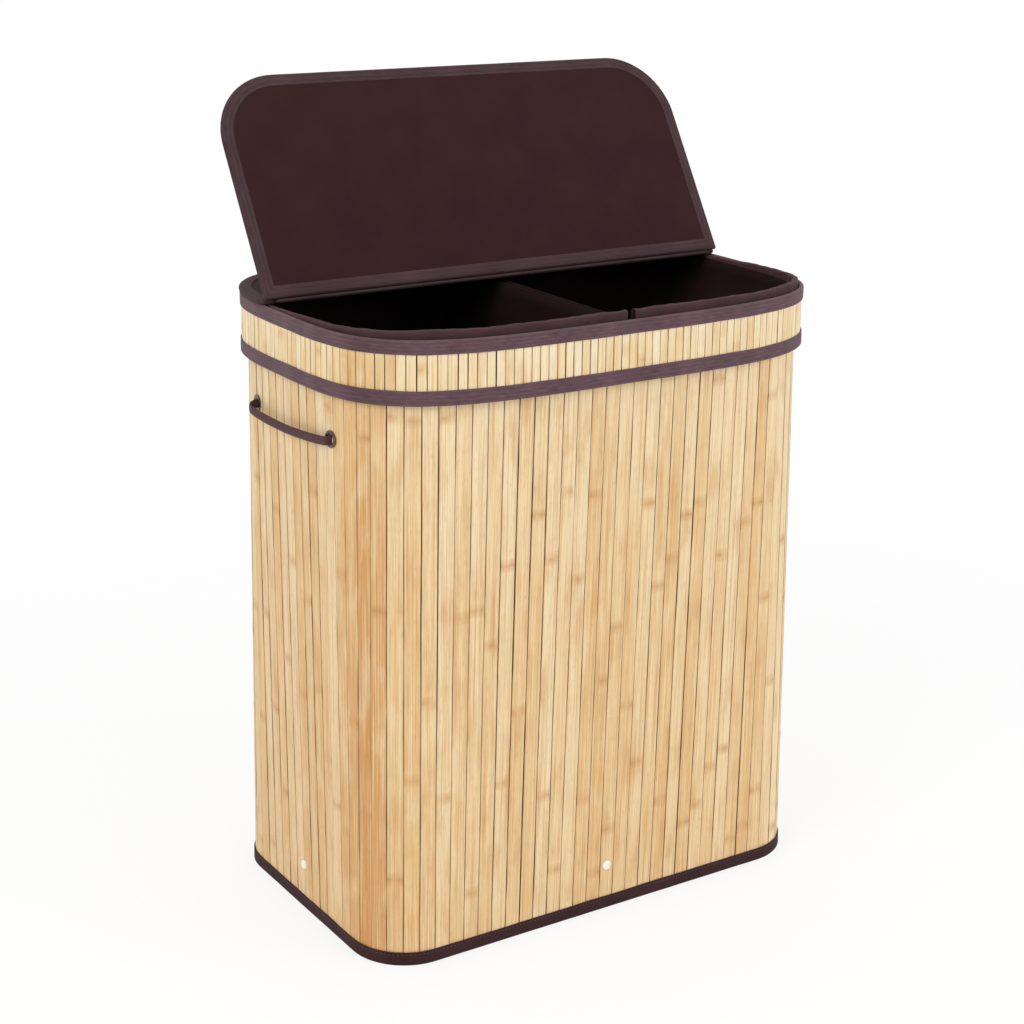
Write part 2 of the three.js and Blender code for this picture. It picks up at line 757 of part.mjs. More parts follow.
// Divider rod: a round bar welded to a flat hook over the rim at each end
const rimY = (out) => wall.point(backMiddle, wallTop, out).y;
function hookAtBack() {
  const [outer, inner] = [bindingThickness + 2 * clearance, bindingInside - clearance];
  const thick = dividerHookThickness;
  const seatZ = rimBindingTop + clearance;
  const footZ = dividerRodHeight - dividerRodRadius;
  const profile = [
    [rimY(inner - thick), footZ],
    [rimY(inner), footZ],
    [rimY(inner), seatZ],
    [rimY(outer), seatZ],
    [rimY(outer), wallTop - dividerHookDrop],
    [rimY(outer + thick), wallTop - dividerHookDrop],
    [rimY(outer + thick), seatZ + thick],
    [rimY(inner - thick), seatZ + thick],
  ];
  const shape = new THREE.Shape(profile.map(([y, z]) => new THREE.Vector2(y, z)));
  const hook = new THREE.ExtrudeGeometry(shape, { depth: dividerHookWidth, bevelEnabled: false });
  return hook.rotateY(Math.PI / 2).rotateX(Math.PI / 2).translate(-dividerHookWidth / 2, 0, 0);
}
const backHook = hookAtBack();
const rodEnd = rimY(bindingInside - clearance - dividerHookThickness / 2);
const bar = new THREE.CylinderGeometry(dividerRodRadius, dividerRodRadius, 2 * rodEnd, roundSegments);
bar.translate(0, 0, dividerRodHeight);
const divider = join([bar, backHook, backHook.clone().rotateZ(Math.PI)]);
add(hamper, "divider_rod", divider, wire);

const sleeveProfile = new THREE.Shape();
sleeveProfile.moveTo(sleeveHalf, -sleeveSkirt);
sleeveProfile.lineTo(sleeveHalf, 0);
sleeveProfile.absarc(0, 0, sleeveHalf, 0, Math.PI);
sleeveProfile.lineTo(-sleeveHalf, -sleeveSkirt);
sleeveProfile.lineTo(-sleeveHalf + sleeveThickness, -sleeveSkirt);
sleeveProfile.lineTo(-sleeveHalf + sleeveThickness, 0);
sleeveProfile.absarc(0, 0, sleeveHalf - sleeveThickness, Math.PI, 0, true);
sleeveProfile.lineTo(sleeveHalf - sleeveThickness, -sleeveSkirt);
const sleeveLength = 2 * (rodEnd - dividerHookThickness);
const sleeve = new THREE.ExtrudeGeometry(sleeveProfile, {
  depth: sleeveLength,
  bevelEnabled: false,
  curveSegments: roundSegments / 2,
});
sleeve.rotateX(Math.PI / 2).translate(0, sleeveLength / 2, dividerRodHeight);
add(hamper, "divider_sleeve", sleeve, linerCloth);

// Lid collar
const collarLining = cuffOuter + collarGap; // inner face of the collar's bindings
const collarBackingIn = collarLining + bindingThickness + clearance;
const collarBackingOut = collarBackingIn + backingThickness;
const collarFace = collarBackingOut + clearance + collarSlatThickness;
const collarOuter = collarFace + clearance + bindingThickness;
const collarLine = new Superellipse(rimWidth, rimDepth, rimSquareness);
const collarCurve = (share) => {
  const step = 1 / lineSegments;
  const [before, after] = [(share - step + 1) % 1, (share + step) % 1];
  const along = collarLine.getPointAt(after).sub(collarLine.getPointAt(before)).normalize();
  return collarLine.getPointAt(share % 1).addScaledVector(new THREE.Vector2(along.y, -along.x), collarFace);
};
const collar = new SlatWall(
  collarCurve,
  collarSlatCount,
  collarFlatFacetSlats,
  collarCornerFacetSlats,
  cornerStartShare,
  cornerEndShare,
);
const collarPitch = (collarLine.getLength() + 2 * Math.PI * collarFace) / collarSlatCount;
const collarSlatLow = collarBottom + bindingThickness + clearance;
const collarSlatHigh = collarTop - bindingThickness - clearance;
const collarThickness = collarFace - collarBackingIn;
const collarSlats = collar.slatTube(
  collarSlatLow,
  collarSlatHigh,
  collarPitch,
  slatGrooveWidth,
  slatGrooveDepth,
  collarSlatThickness,
);
add(lid, "collar_slats", collarSlats, bambooPale);
const collarBacking = collar.band([
  [-collarSlatThickness - clearance, collarSlatLow],
  [-collarSlatThickness - clearance, collarSlatHigh],
  [-collarThickness, collarSlatHigh],
  [-collarThickness, collarSlatLow],
]);
add(lid, "collar_backing", collarBacking, backingCloth);
const lowerDrop = collarLowerBinding - bindingThickness - clearance;
const lowerBinding = bindingSection(0, -collarThickness, collarSlatLow, lowerDrop, bindingThickness);
add(lid, "collar_lower_binding", collar.band(lowerBinding), bindingCloth);
const upperDrop = -(collarUpperBinding - bindingThickness - clearance);
const upperBinding = bindingSection(0, -collarThickness, collarSlatHigh, upperDrop, bindingThickness);
add(lid, "collar_upper_binding", collar.band(upperBinding), bindingCloth);

// Lid boards: board, cloth on both faces, and a binding folded over the whole edge
const boardStack = boardThickness + 2 * (boardClothThickness + clearance);
const boardHeight = boardStack + 2 * (boardBindingThickness + clearance);
const boardUnder = Math.max(cuffTop, collarTop) + clearance;
const edgeCloth = clearance + boardBindingThickness;

function coveredBoard(group, name, outline, low, upper, lower) {
  const clothLow = low + edgeCloth;
  const boardLow = clothLow + boardClothThickness + clearance;
  const clothHigh = boardLow + boardThickness + clearance;
  add(group, `${name}_board`, slab(outline, boardLow, boardThickness), fibreboard);
  add(group, `${name}_${upper}`, slab(outline, clothHigh, boardClothThickness), lidCloth);
  add(group, `${name}_${lower}`, slab(outline, clothLow, boardClothThickness), lidCloth);
  const [inner, web, outer] = [clearance - boardBindingWidth, clearance, edgeCloth];
  const rings = [
    [outer, low],
    [outer, low + boardHeight],
    [inner, low + boardHeight],
    [inner, clothHigh + boardClothThickness + clearance],
    [web, clothHigh + boardClothThickness + clearance],
    [web, low + boardBindingThickness],
    [inner, low + boardBindingThickness],
    [inner, low],
  ].map(([out, z]) => atHeight(offsetOutline(outline, out), z));
  add(group, `${name}_binding`, sweptSection(rings, true), bindingCloth);
}

// The rear board follows the collar round its back corners and ends in a straight edge at the hinge.
const flapHingeGap = hingeFoldRadius + clearance;
const rearReach = collarOuter - collarFace + boardOverhang - edgeCloth;
const rearFront = hingeY + rearHingeGap + edgeCloth;
const rearCurve = collar
  .outline(0, rearReach)
  .filter((point) => point.y > rearFront + boardBindingWidth / 2);
const rearSorted = rearCurve.sort((a, b) => Math.atan2(a.y, a.x) - Math.atan2(b.y, b.x));
const flapHalf = flapWidth / 2 - edgeCloth;
const rearOutline = [
  new THREE.Vector2(-flapHalf, rearFront),
  new THREE.Vector2(flapHalf, rearFront),
  ...rearSorted,
];
coveredBoard(lid, "rear", rearOutline, boardUnder, "cover", "lining");

// The cloth that hangs the rear board on the collar's back
const seamClothHalf = seamClothWidth / 2 / collarPitch;
const seamOut = collarOuter - collarFace + clearance;
const seamCloth = collar.openBand(
  [
    [seamOut + seamClothThickness, collarTop - seamClothLap],
    [seamOut + seamClothThickness, boardUnder - clearance],
    [seamOut, boardUnder - clearance],
    [seamOut, collarTop - seamClothLap],
  ],
  collarSlatCount / 2 - seamClothHalf,
  collarSlatCount / 2 + seamClothHalf,
);
add(lid, "rear_seam_cloth", seamCloth, bindingCloth);

// The fold of cloth that the flap turns on, between the boards and tucked towards the rear one
const hingeZ = boardUnder + boardHeight / 2 + hingeRise;
const slant = THREE.MathUtils.degToRad(-hingeFoldSlant);
const foldShape = new THREE.Shape();
foldShape.absarc(0, 0, hingeFoldRadius, slant + Math.PI / 2, slant + 1.5 * Math.PI);
foldShape.absarc(
  hingeFoldTuck * Math.cos(slant),
  hingeFoldTuck * Math.sin(slant),
  hingeFoldRadius,
  slant - Math.PI / 2,
  slant + Math.PI / 2,
);
const foldLength = 2 * (flapHalf - boardBindingWidth);
const fold = new THREE.ExtrudeGeometry(foldShape, {
  depth: foldLength,
  bevelEnabled: false,
  curveSegments: roundSegments / 2,
});
fold.rotateY(Math.PI / 2).rotateX(Math.PI / 2).translate(-foldLength / 2, hingeY, hingeZ);
add(lid, "hinge_fold", fold, bindingCloth);

// The flap is drawn shut with the hinge at its group's origin, and the group turns it open.
const flapEdge = -flapHingeGap - edgeCloth;
const frontEdge = -(flapLength - edgeCloth);
const cornerX = flapHalf - flapCornerRadius;
const flapShape = new THREE.Path();
flapShape.moveTo(flapHalf, flapEdge);
flapShape.lineTo(-flapHalf, flapEdge);
flapShape.absarc(-cornerX, frontEdge + flapCornerRadius, flapCornerRadius, Math.PI, 1.5 * Math.PI);
flapShape.absarc(cornerX, frontEdge + flapCornerRadius, flapCornerRadius, -Math.PI / 2, 0);
const flapOutline = flapShape.getPoints(lidCornerSegments);
coveredBoard(flap, "flap", flapOutline, boardUnder - hingeZ, "cover", "lining");
flap.position.set(0, hingeY, hingeZ);
flap.rotation.x = THREE.MathUtils.degToRad(-flapOpening);

export default hamper;
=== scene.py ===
"""A laundry hamper with two bins, dressed round its fixed frame.

The frame gives the boards, wires and hidden hardware at their real size. This file adds what is seen on them:
bamboo slats, cloth bags and bindings, straps, eyelets and rivets, with their finishes, a studio and a camera.
Lengths are metres, angles are degrees, and shares run from 0 to 1.
"""

import logging
import math
import random
from collections.abc import Callable, Iterable, Sequence
from dataclasses import dataclass, field
from enum import Enum
from functools import lru_cache, partial

import bmesh
import bpy
import numpy as np
from mathutils import Matrix, Vector, noise

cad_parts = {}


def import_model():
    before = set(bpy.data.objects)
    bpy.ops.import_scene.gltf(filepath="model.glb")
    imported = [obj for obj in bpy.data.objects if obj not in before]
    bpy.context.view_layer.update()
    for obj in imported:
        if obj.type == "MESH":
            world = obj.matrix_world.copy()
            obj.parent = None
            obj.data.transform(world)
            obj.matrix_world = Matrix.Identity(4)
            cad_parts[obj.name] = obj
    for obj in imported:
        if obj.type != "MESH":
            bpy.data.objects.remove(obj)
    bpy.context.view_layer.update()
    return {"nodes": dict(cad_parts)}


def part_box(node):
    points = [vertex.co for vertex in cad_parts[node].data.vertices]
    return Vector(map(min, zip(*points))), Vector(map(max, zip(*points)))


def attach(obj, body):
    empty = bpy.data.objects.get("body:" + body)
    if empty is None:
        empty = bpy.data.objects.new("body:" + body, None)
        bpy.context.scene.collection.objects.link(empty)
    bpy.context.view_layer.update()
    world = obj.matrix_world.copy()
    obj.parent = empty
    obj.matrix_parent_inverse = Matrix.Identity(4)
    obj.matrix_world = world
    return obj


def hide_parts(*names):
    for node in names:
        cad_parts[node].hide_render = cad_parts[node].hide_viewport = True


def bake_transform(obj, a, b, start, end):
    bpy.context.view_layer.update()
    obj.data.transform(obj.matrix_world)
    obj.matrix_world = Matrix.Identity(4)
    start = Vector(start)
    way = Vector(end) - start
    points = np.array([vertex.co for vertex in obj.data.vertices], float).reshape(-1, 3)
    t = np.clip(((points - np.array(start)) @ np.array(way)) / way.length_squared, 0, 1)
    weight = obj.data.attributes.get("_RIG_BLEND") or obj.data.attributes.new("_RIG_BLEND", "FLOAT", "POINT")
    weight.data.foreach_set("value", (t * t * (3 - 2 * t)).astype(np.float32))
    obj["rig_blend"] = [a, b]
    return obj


log = logging.getLogger("hamper")

Point = tuple[float, float]
Triple = tuple[float, float, float]
Pair = tuple[str, str]
BMesh = bmesh.types.BMesh
Node = bpy.types.Node
NodeTree = bpy.types.NodeTree
Socket = bpy.types.NodeSocket
Placer = Callable[[float, float], Vector]
StitchLine = Callable[[float], tuple[Vector, Vector]]
UP = Vector((0.0, 0.0, 1.0))
MERGED = 1e-6  # points closer than this are one
SEED = 7


class Body(Enum):
    """The frame's moving bodies."""

    HAMPER = "hamper"
    LID = "lid"
    FLAP = "flap"
    HANDLE_LEFT = "handle_left"
    HANDLE_RIGHT = "handle_right"


class Slot(Enum):
    """The record's material slots."""

    BAMBOO = "bamboo_slats"
    PALE_BAMBOO = "pale_bamboo_slats"
    BINDING = "binding_cloth"
    LINER = "liner_cloth"
    LID = "lid_cloth"
    BACKING = "backing_cloth"
    BOARD = "fibreboard"
    PLASTIC = "white_plastic"
    NICKEL = "nickel"
    STEEL = "steel_wire"


class Side(Enum):
    """A side of the hamper, by the sign of X."""

    LEFT = -1
    RIGHT = 1


# Outlines in plan


class PlanLine:
    """A closed outline seen from above, walked counter-clockwise by equal shares of its length."""

    def __init__(self, points: Sequence[Point]) -> None:
        """Measures the outline.

        Args:
            points: its corners in order, the first not repeated.
        """
        self.corners = np.array([*points, points[0]])
        steps = np.hypot(*np.diff(self.corners, axis=0).T)
        self.reach = np.concatenate([[0.0], np.cumsum(steps)])
        self.length = float(self.reach[-1])

    def at(self, share: float) -> Vector:
        """Returns the point at a share of the length.

        Args:
            share: how far along the outline it lies.

        Returns:
            The point, at height 0.
        """
        gone = (share % 1.0) * self.length
        x = np.interp(gone, self.reach, self.corners[:, 0])
        y = np.interp(gone, self.reach, self.corners[:, 1])
        return Vector((float(x), float(y), 0.0))

    def along(self, share: float, step: float = 2e-4) -> Vector:
        """Returns the direction of travel, as long as the whole outline."""
        return (self.at(share + step) - self.at(share - step)) / (2 * step)


def rounded_rectangle(width: float, depth: float, radius: float, arc_steps: int = 90) -> PlanLine:
    """Draws a rounded rectangle that starts at the middle of its front.

    Args:
        width: its size along X.
        depth: its size along Y.
        radius: its corners' radius.
        arc_steps: parts in each corner.

    Returns:
        The outline.
    """
    points = [(0.0, -depth / 2)]
    corners = ((1, -1), (1, 1), (-1, 1), (-1, -1))
    for turn, (sx, sy) in enumerate(corners):
        for k in range(arc_steps + 1):
            angle = math.radians(90 * (turn - 1 + k / arc_steps))
            x = sx * (width / 2 - radius) + radius * math.cos(angle)
            y = sy * (depth / 2 - radius) + radius * math.sin(angle)
            points.append((x, y))
    return PlanLine(points)


def superellipse(width: float, depth: float, squareness: float, steps: int = 1440) -> PlanLine:
    """Draws a superellipse that starts at the middle of its front.

    Args:
        width: its size along X.
        depth: its size along Y.
        squareness: its power, 2 for an ellipse.
        steps: its parts.

    Returns:
        The outline.
    """
    points = []
    for k in range(steps):
        angle = 2 * math.pi * (k / steps - 0.25)
        c, s = math.cos(angle), math.sin(angle)
        x = math.copysign(abs(c) ** (2 / squareness), c) * width / 2
        y = math.copysign(abs(s) ** (2 / squareness), s) * depth / 2
        points.append((x, y))
    return PlanLine(points)


@dataclass(frozen=True)
class BodyWall:
    """The tube of the body: a rounded rectangle at the foot that loosens to a superellipse at the rim."""

    foot_width: float = 0.517
    foot_depth: float = 0.322
    foot_radius: float = 0.0585
    rim_width: float = 0.5335
    rim_depth: float = 0.360
    rim_squareness: float = 3.9
    top: float = 0.6144
    slats: int = 98
    lines: dict[str, PlanLine] = field(default_factory=dict, compare=False, repr=False)

    def __post_init__(self) -> None:
        """Draws the outlines at the foot and the rim."""
        self.lines["foot"] = rounded_rectangle(self.foot_width, self.foot_depth, self.foot_radius)
        self.lines["rim"] = superellipse(self.rim_width, self.rim_depth, self.rim_squareness)

    @property
    def length(self) -> float:
        """The rim's length."""
        return self.lines["rim"].length

    @lru_cache(maxsize=None)
    def station(self, share: float) -> tuple[Vector, Vector, Vector, Vector]:
        """Returns the foot's point and direction and the rim's point and direction at a share."""
        foot, rim = self.lines["foot"], self.lines["rim"]
        return foot.at(share), foot.along(share), rim.at(share), rim.along(share)

    def normal(self, share: float, z: float) -> Vector:
        """Returns the direction out of the wall."""
        _, foot_way, _, rim_way = self.station(share)
        way = foot_way.lerp(rim_way, z / self.top)
        return Vector((way.y, -way.x, 0.0)).normalized()

    def point(self, share: float, z: float, out: float = 0.0) -> Vector:
        """Returns a point of the wall.

        Args:
            share: how far round the wall, counter-clockwise from the front middle.
            z: its height.
            out: how far outside the slats' face it lies.
        """
        foot, _, rim, _ = self.station(share)
        flat = foot.lerp(rim, z / self.top) + self.normal(share, z) * out
        return Vector((flat.x, flat.y, z))


@dataclass(frozen=True)
class CollarWall:
    """The lid's collar, which runs round the rim at a steady distance."""

    body: BodyWall
    face: float = 0.0066  # the collar's slats outside the body's
    slats: int = 174
    low: float = 0.559
    high: float = 0.620

    @property
    def length(self) -> float:
        """The collar's length round its face."""
        return self.body.length + 2 * math.pi * self.face

    def normal(self, share: float, z: float) -> Vector:
        """Returns the direction out of the collar."""
        return self.body.normal(share, self.body.top)

    def point(self, share: float, z: float, out: float = 0.0) -> Vector:
        """Returns a point of the collar, as BodyWall.point does."""
        at_rim = self.body.point(share, self.body.top, self.face + out)
        return Vector((at_rim.x, at_rim.y, z))


Wall = BodyWall | CollarWall


# Shader node groups


Colour = tuple[float, float, float, float]


def colour(code: str) -> Colour:
    """Returns a linear colour for six hexadecimal digits."""
    parts = [int(code[k : k + 2], 16) / 255 for k in (0, 2, 4)]
    linear = [p / 12.92 if p <= 0.04045 else ((p + 0.055) / 1.055) ** 2.4 for p in parts]
    return (*linear, 1.0)


@dataclass
class Graph:
    """Adds nodes to a shader tree."""

    tree: NodeTree

    def add(self, kind: str, inputs: dict | None = None, **settings: object) -> Node:
        """Adds a node.

        Args:
            kind: the node's type, without its ShaderNode prefix.
            inputs: a value or another node's output for each named or numbered input.
            settings: the node's own properties.

        Returns:
            The new node.
        """
        node = self.tree.nodes.new("ShaderNode" + kind)
        for name, value in settings.items():
            setattr(node, name, value)
        self.fill(node, inputs or {})
        return node

    def fill(self, node: Node, inputs: dict) -> None:
        """Gives a node's inputs their values or links.

        Args:
            node: the node.
            inputs: a value or another node's output for each named or numbered input.
        """
        for name, value in inputs.items():
            if isinstance(value, Socket):
                self.tree.links.new(value, node.inputs[name])
            else:
                node.inputs[name].default_value = value

    def maths(self, operation: str, *values: object) -> Socket:
        """Returns the result of a Math node on up to three values."""
        return self.add("Math", dict(enumerate(values)), operation=operation).outputs[0]

    def scaled(self, vector: object, scale: Sequence[float]) -> Socket:
        """Returns a vector scaled along each axis."""
        node = self.add("VectorMath", {0: vector, 1: scale}, operation="MULTIPLY")
        return node.outputs[0]

    def noise(self, vector: object, scale: float, detail: float = 2.0) -> Socket:
        """Returns a noise from 0 to 1."""
        made = self.add("TexNoise", {"Vector": vector, "Scale": scale, "Detail": detail})
        return made.outputs["Fac"]

    def stretched(self, vector: object, scale: Sequence[float], detail: float) -> Socket:
        """Returns a noise from 0 to 1 with its own scale along each axis."""
        return self.noise(self.scaled(vector, scale), 1.0, detail)

    def wave(self, value: object, pitch: object) -> Socket:
        """Returns a sine wave of a pitch."""
        turns = self.maths("DIVIDE", 2 * math.pi, pitch)
        return self.maths("SINE", self.maths("MULTIPLY", value, turns))

    def ramp(self, value: object, low: float, high: float, to: Point = (0.0, 1.0)) -> Socket:
        """Returns a value spread smoothly from between low and high to another range, and held there."""
        inputs = {"Value": value, "From Min": low, "From Max": high, "To Min": to[0], "To Max": to[1]}
        return self.add("MapRange", inputs, interpolation_type="SMOOTHSTEP").outputs[0]

    def mix(self, share: object, first: object, second: object) -> Socket:
        """Returns two colours mixed by a share."""
        return self.add("Mix", {0: share, 6: first, 7: second}, data_type="RGBA").outputs[2]


WHITE: Colour = (1.0, 1.0, 1.0, 1.0)


@dataclass
class NodeGroup:
    """A shader node group under construction, with named inputs and outputs."""

    name: str
    inputs: dict[str, tuple[str, object]]
    outputs: tuple[Pair, ...] = (("Color", "Color"), ("Height", "Float"), ("Roughness", "Float"))

    def open(self) -> tuple[Graph, dict[str, Socket], Node]:
        """Makes the empty group.

        Returns:
            Its graph, its input sockets by name and its output node.
        """
        tree = bpy.data.node_groups.new(self.name, "ShaderNodeTree")
        for name, (kind, value) in self.inputs.items():
            socket = tree.interface.new_socket(name, in_out="INPUT", socket_type="NodeSocket" + kind)
            if value is not None:
                socket.default_value = value
        for name, kind in self.outputs:
            tree.interface.new_socket(name, in_out="OUTPUT", socket_type="NodeSocket" + kind)
        given = tree.nodes.new("NodeGroupInput")
        return Graph(tree), {s.name: s for s in given.outputs if s.name}, tree.nodes.new("NodeGroupOutput")


@dataclass(frozen=True)
class Weave:
    """How much each part of a woven cloth's pattern weighs in its colour and its height."""

    slub_scale: Triple = (90.0, 1100.0, 90.0)
    cloud_scale: float = 22.0
    detail: float = 3.0
    slub_tint: float = 0.9
    cloud_tint: float = 0.7
    thread_tint: float = 0.22
    tint_range: Point = (0.55, 1.45)
    thread_height: float = 0.4
    slub_height: float = 0.5
    roughness: Point = (0.74, 0.93)

    def build(self) -> NodeTree:
        """Builds the group for woven cloth: crossing threads, slubs, ribs and a faint cloudiness.

        Returns:
            The group.
        """
        inputs = {
            "Vector": ("Vector", None),
            "Pitch": ("Float", 0.0006),
            "Rib pitch": ("Float", 0.002),
            "Ribs": ("Float", 0.0),
            "Cloth": ("Color", WHITE),
            "Nap": ("Color", WHITE),
        }
        graph, given, result = NodeGroup("Cloth weave", inputs).open()
        place = given["Vector"]
        axes = graph.add("SeparateXYZ", {0: place}).outputs
        warp, weft = (graph.wave(axis, given["Pitch"]) for axis in axes[:2])
        threads = graph.maths("MULTIPLY_ADD", graph.maths("MULTIPLY", warp, weft), 0.5, 0.5)
        rib = graph.maths("MULTIPLY_ADD", graph.wave(axes[1], given["Rib pitch"]), 0.5, 0.5)
        rib = graph.maths("MULTIPLY", rib, given["Ribs"])
        slub = graph.stretched(place, self.slub_scale, self.detail)
        cloud = graph.maths("MULTIPLY", graph.noise(place, self.cloud_scale, self.detail), self.cloud_tint)
        mottle = graph.maths("MULTIPLY_ADD", slub, self.slub_tint, cloud)
        mottle = graph.maths("ADD", graph.maths("MULTIPLY_ADD", threads, self.thread_tint, mottle), rib)
        relief = graph.maths("MULTIPLY_ADD", slub, self.slub_height, rib)
        outputs = {
            "Color": graph.mix(graph.ramp(mottle, *self.tint_range), given["Cloth"], given["Nap"]),
            "Height": graph.maths("MULTIPLY_ADD", threads, self.thread_height, relief),
            "Roughness": graph.ramp(slub, 0.3, 0.7, self.roughness),
        }
        graph.fill(result, outputs)
        return graph.tree


@dataclass(frozen=True)
class Coat:
    """A colour that a slat takes where a noise runs from low to high."""

    noise: str
    low: float
    high: float
    most: float
    shade: str


SLAT_LAYERS = {"Tint": "slat_tint", "Node": "slat_node", "Across": "slat_across"}
SHADES = ("Pale", "Straw", "Amber", "Olive", "Knot")


@dataclass(frozen=True)
class Grain:
    """The noises of split bamboo and the colours that they bring."""

    noises: tuple[tuple[str, float, float, float], ...] = (  # scales across and along a slat, and detail
        ("fibres", 1700.0, 16.0, 3.0),
        ("streaks", 640.0, 5.0, 3.0),
        ("bands", 260.0, 3.0, 2.0),
        ("pores", 1300.0, 90.0, 1.0),
        ("blotch", 110.0, 40.0, 3.0),
        ("patches", 50.0, 17.0, 3.0),
        ("olive", 130.0, 7.0, 2.0),
        # the next noise makes the painted gap shade on the slats' edges uneven along each slat
        ("mottle", 40.0, 14.0, 2.0),
    )
    coats: tuple[Coat, ...] = (
        Coat("bands", 0.45, 0.8, 0.4, "Amber"),
        Coat("patches", 0.5, 0.7, 0.4, "Amber"),
        Coat("patches", 0.48, 0.3, 0.4, "Pale"),
        Coat("olive", 0.5, 0.75, 0.6, "Olive"),
        Coat("streaks", 0.5, 0.72, 0.6, "Amber"),
        Coat("streaks", 0.48, 0.28, 0.75, "Pale"),
        Coat("fibres", 0.5, 0.72, 0.5, "Amber"),
        Coat("fibres", 0.48, 0.28, 0.45, "Pale"),
        Coat("pores", 0.6, 0.75, 0.25, "Knot"),
    )
    node_halo: Point = (0.6, 0.55)  # power and strength of the warm mark round a node
    node_line: Point = (3.0, 0.22)  # the same of the dark line in it
    edge_from: float = 0.93  # where the painted shade of the gaps between slats begins on a slat's edge, from its middle
    roughness: Point = (0.42, 0.6)

    def build(self) -> NodeTree:
        """Builds the group for split bamboo: fibres and pores along each slat, darker nodes across it,
        painted gap shade at its edges.

        Returns:
            The group.
        """
        inputs = {"Vector": ("Vector", None), "Tint": ("Float", 0.5), "Node": ("Float", 0.0)}
        inputs |= {"Across": ("Float", 0.0), **{shade: ("Color", WHITE) for shade in SHADES}}
        graph, given, result = NodeGroup("Bamboo grain", inputs).open()
        noises = {
            name: graph.stretched(given["Vector"], (across, along, 1.0), detail)
            for name, across, along, detail in self.noises
        }
        base = graph.mix(graph.ramp(given["Tint"], 0.0, 1.0), given["Pale"], given["Straw"])
        base = graph.mix(graph.ramp(given["Tint"], 1.0, 2.0), base, given["Amber"])
        for coat in self.coats:
            share = graph.ramp(noises[coat.noise], coat.low, coat.high, (0.0, coat.most))
            base = graph.mix(share, base, given[coat.shade])
        spots = graph.ramp(noises["blotch"], 0.35, 0.65, (0.3, 1.0))
        across = graph.maths("MULTIPLY", given["Node"], spots)
        for (power, strength), shade in ((self.node_halo, "Amber"), (self.node_line, "Knot")):
            share = graph.maths("MULTIPLY", graph.maths("POWER", across, power), strength)
            base = graph.mix(share, base, given[shade])
        # painted shade: each slat's edges darken towards the Knot colour, standing in for the shade in the
        # gaps between slats, unevenly along the slat
        edge = graph.ramp(graph.maths("ABSOLUTE", given["Across"]), self.edge_from, 1.0)
        mottle = graph.ramp(noises["mottle"], 0.35, 0.65, (0.05, 0.95))
        base = graph.mix(graph.maths("MULTIPLY", edge, mottle), base, given["Knot"])
        bands = graph.maths("MULTIPLY", noises["bands"], 0.5)
        outputs = {
            "Color": base,
            "Height": graph.maths("MULTIPLY_ADD", noises["fibres"], 0.7, bands),
            "Roughness": graph.ramp(noises["fibres"], 0.3, 0.7, self.roughness),
        }
        graph.fill(result, outputs)
        return graph.tree


@lru_cache(maxsize=None)
def shared_group(pattern: Weave | Grain) -> NodeTree:
    """Returns a pattern's node group, built at its first use."""
    return pattern.build()


# Finishes


@dataclass(frozen=True)
class Finish:
    """A surface finish, kept under its name."""

    name: str

    def material(self) -> bpy.types.Material:
        """Builds the finish's material at its first use.

        Returns:
            The material.
        """
        made = bpy.data.materials.get(self.name)
        if made is None:
            made = bpy.data.materials.new(self.name)
            made.use_nodes = True
            graph = Graph(made.node_tree)
            surface, height, (strength, depth) = self.surface(graph)
            raised = graph.add("Bump", {"Height": height, "Strength": strength, "Distance": depth})
            shader = made.node_tree.nodes["Principled BSDF"]
            graph.fill(shader, {**surface, "Normal": raised.outputs["Normal"]})
        return made

    def surface(self, graph: Graph) -> tuple[dict, Socket, Point]:
        """Lays out the finish.

        Args:
            graph: the material's graph.

        Returns:
            The shader's inputs, the height that bumps the surface, and the bump's strength and depth.
        """
        raise NotImplementedError


@dataclass(frozen=True)
class ClothFinish(Finish):
    """Dull woven polyester."""

    cloth: str = "4a3139"
    nap: str = "6a4d55"
    pitch: float = 0.0007
    rib_pitch: float = 0.0018
    ribs: float = 0.0
    sheen: float = 0.1
    gloss: float = 0.25
    by_uv: bool = True  # whether the weave follows the UV map, which is in metres
    sheen_roughness: float = 0.5
    bump: Point = (0.5, 0.0004)

    def surface(self, graph: Graph) -> tuple[dict, Socket, Point]:
        """Lays out the weave.

        Args:
            graph: the material's graph.

        Returns:
            What Finish.surface returns.
        """
        inputs = {
            "Vector": graph.add("TexCoord").outputs["UV" if self.by_uv else "Object"],
            "Pitch": self.pitch,
            "Rib pitch": self.rib_pitch,
            "Ribs": self.ribs,
            "Cloth": colour(self.cloth),
            "Nap": colour(self.nap),
        }
        weave = graph.add("Group", inputs, node_tree=shared_group(Weave())).outputs
        surface = {
            "Base Color": weave["Color"],
            "Roughness": weave["Roughness"],
            "Specular IOR Level": self.gloss,
            "Sheen Weight": self.sheen,
            "Sheen Roughness": self.sheen_roughness,
        }
        return surface, weave["Height"], self.bump


@dataclass(frozen=True)
class BambooFinish(Finish):
    """Split bamboo with a thin satin varnish."""

    pale: str = "f0dab0"
    straw: str = "e0bb84"
    amber: str = "c98f50"
    olive: str = "d9c08a"
    knot: str = "7c4f2a"
    gloss: float = 0.4
    bump: Point = (0.45, 0.0004)

    def surface(self, graph: Graph) -> tuple[dict, Socket, Point]:
        """Lays out the grain.

        Args:
            graph: the material's graph.

        Returns:
            What Finish.surface returns.
        """
        inputs = {"Vector": graph.add("TexCoord").outputs["UV"]}
        for word, layer in SLAT_LAYERS.items():
            inputs[word] = graph.add("Attribute", attribute_name=layer).outputs["Fac"]
        for word in SHADES:
            inputs[word] = colour(getattr(self, word.lower()))
        grain = graph.add("Group", inputs, node_tree=shared_group(Grain())).outputs
        surface = {"Base Color": grain["Color"], "Roughness": grain["Roughness"]}
        return {**surface, "Specular IOR Level": self.gloss}, grain["Height"], self.bump


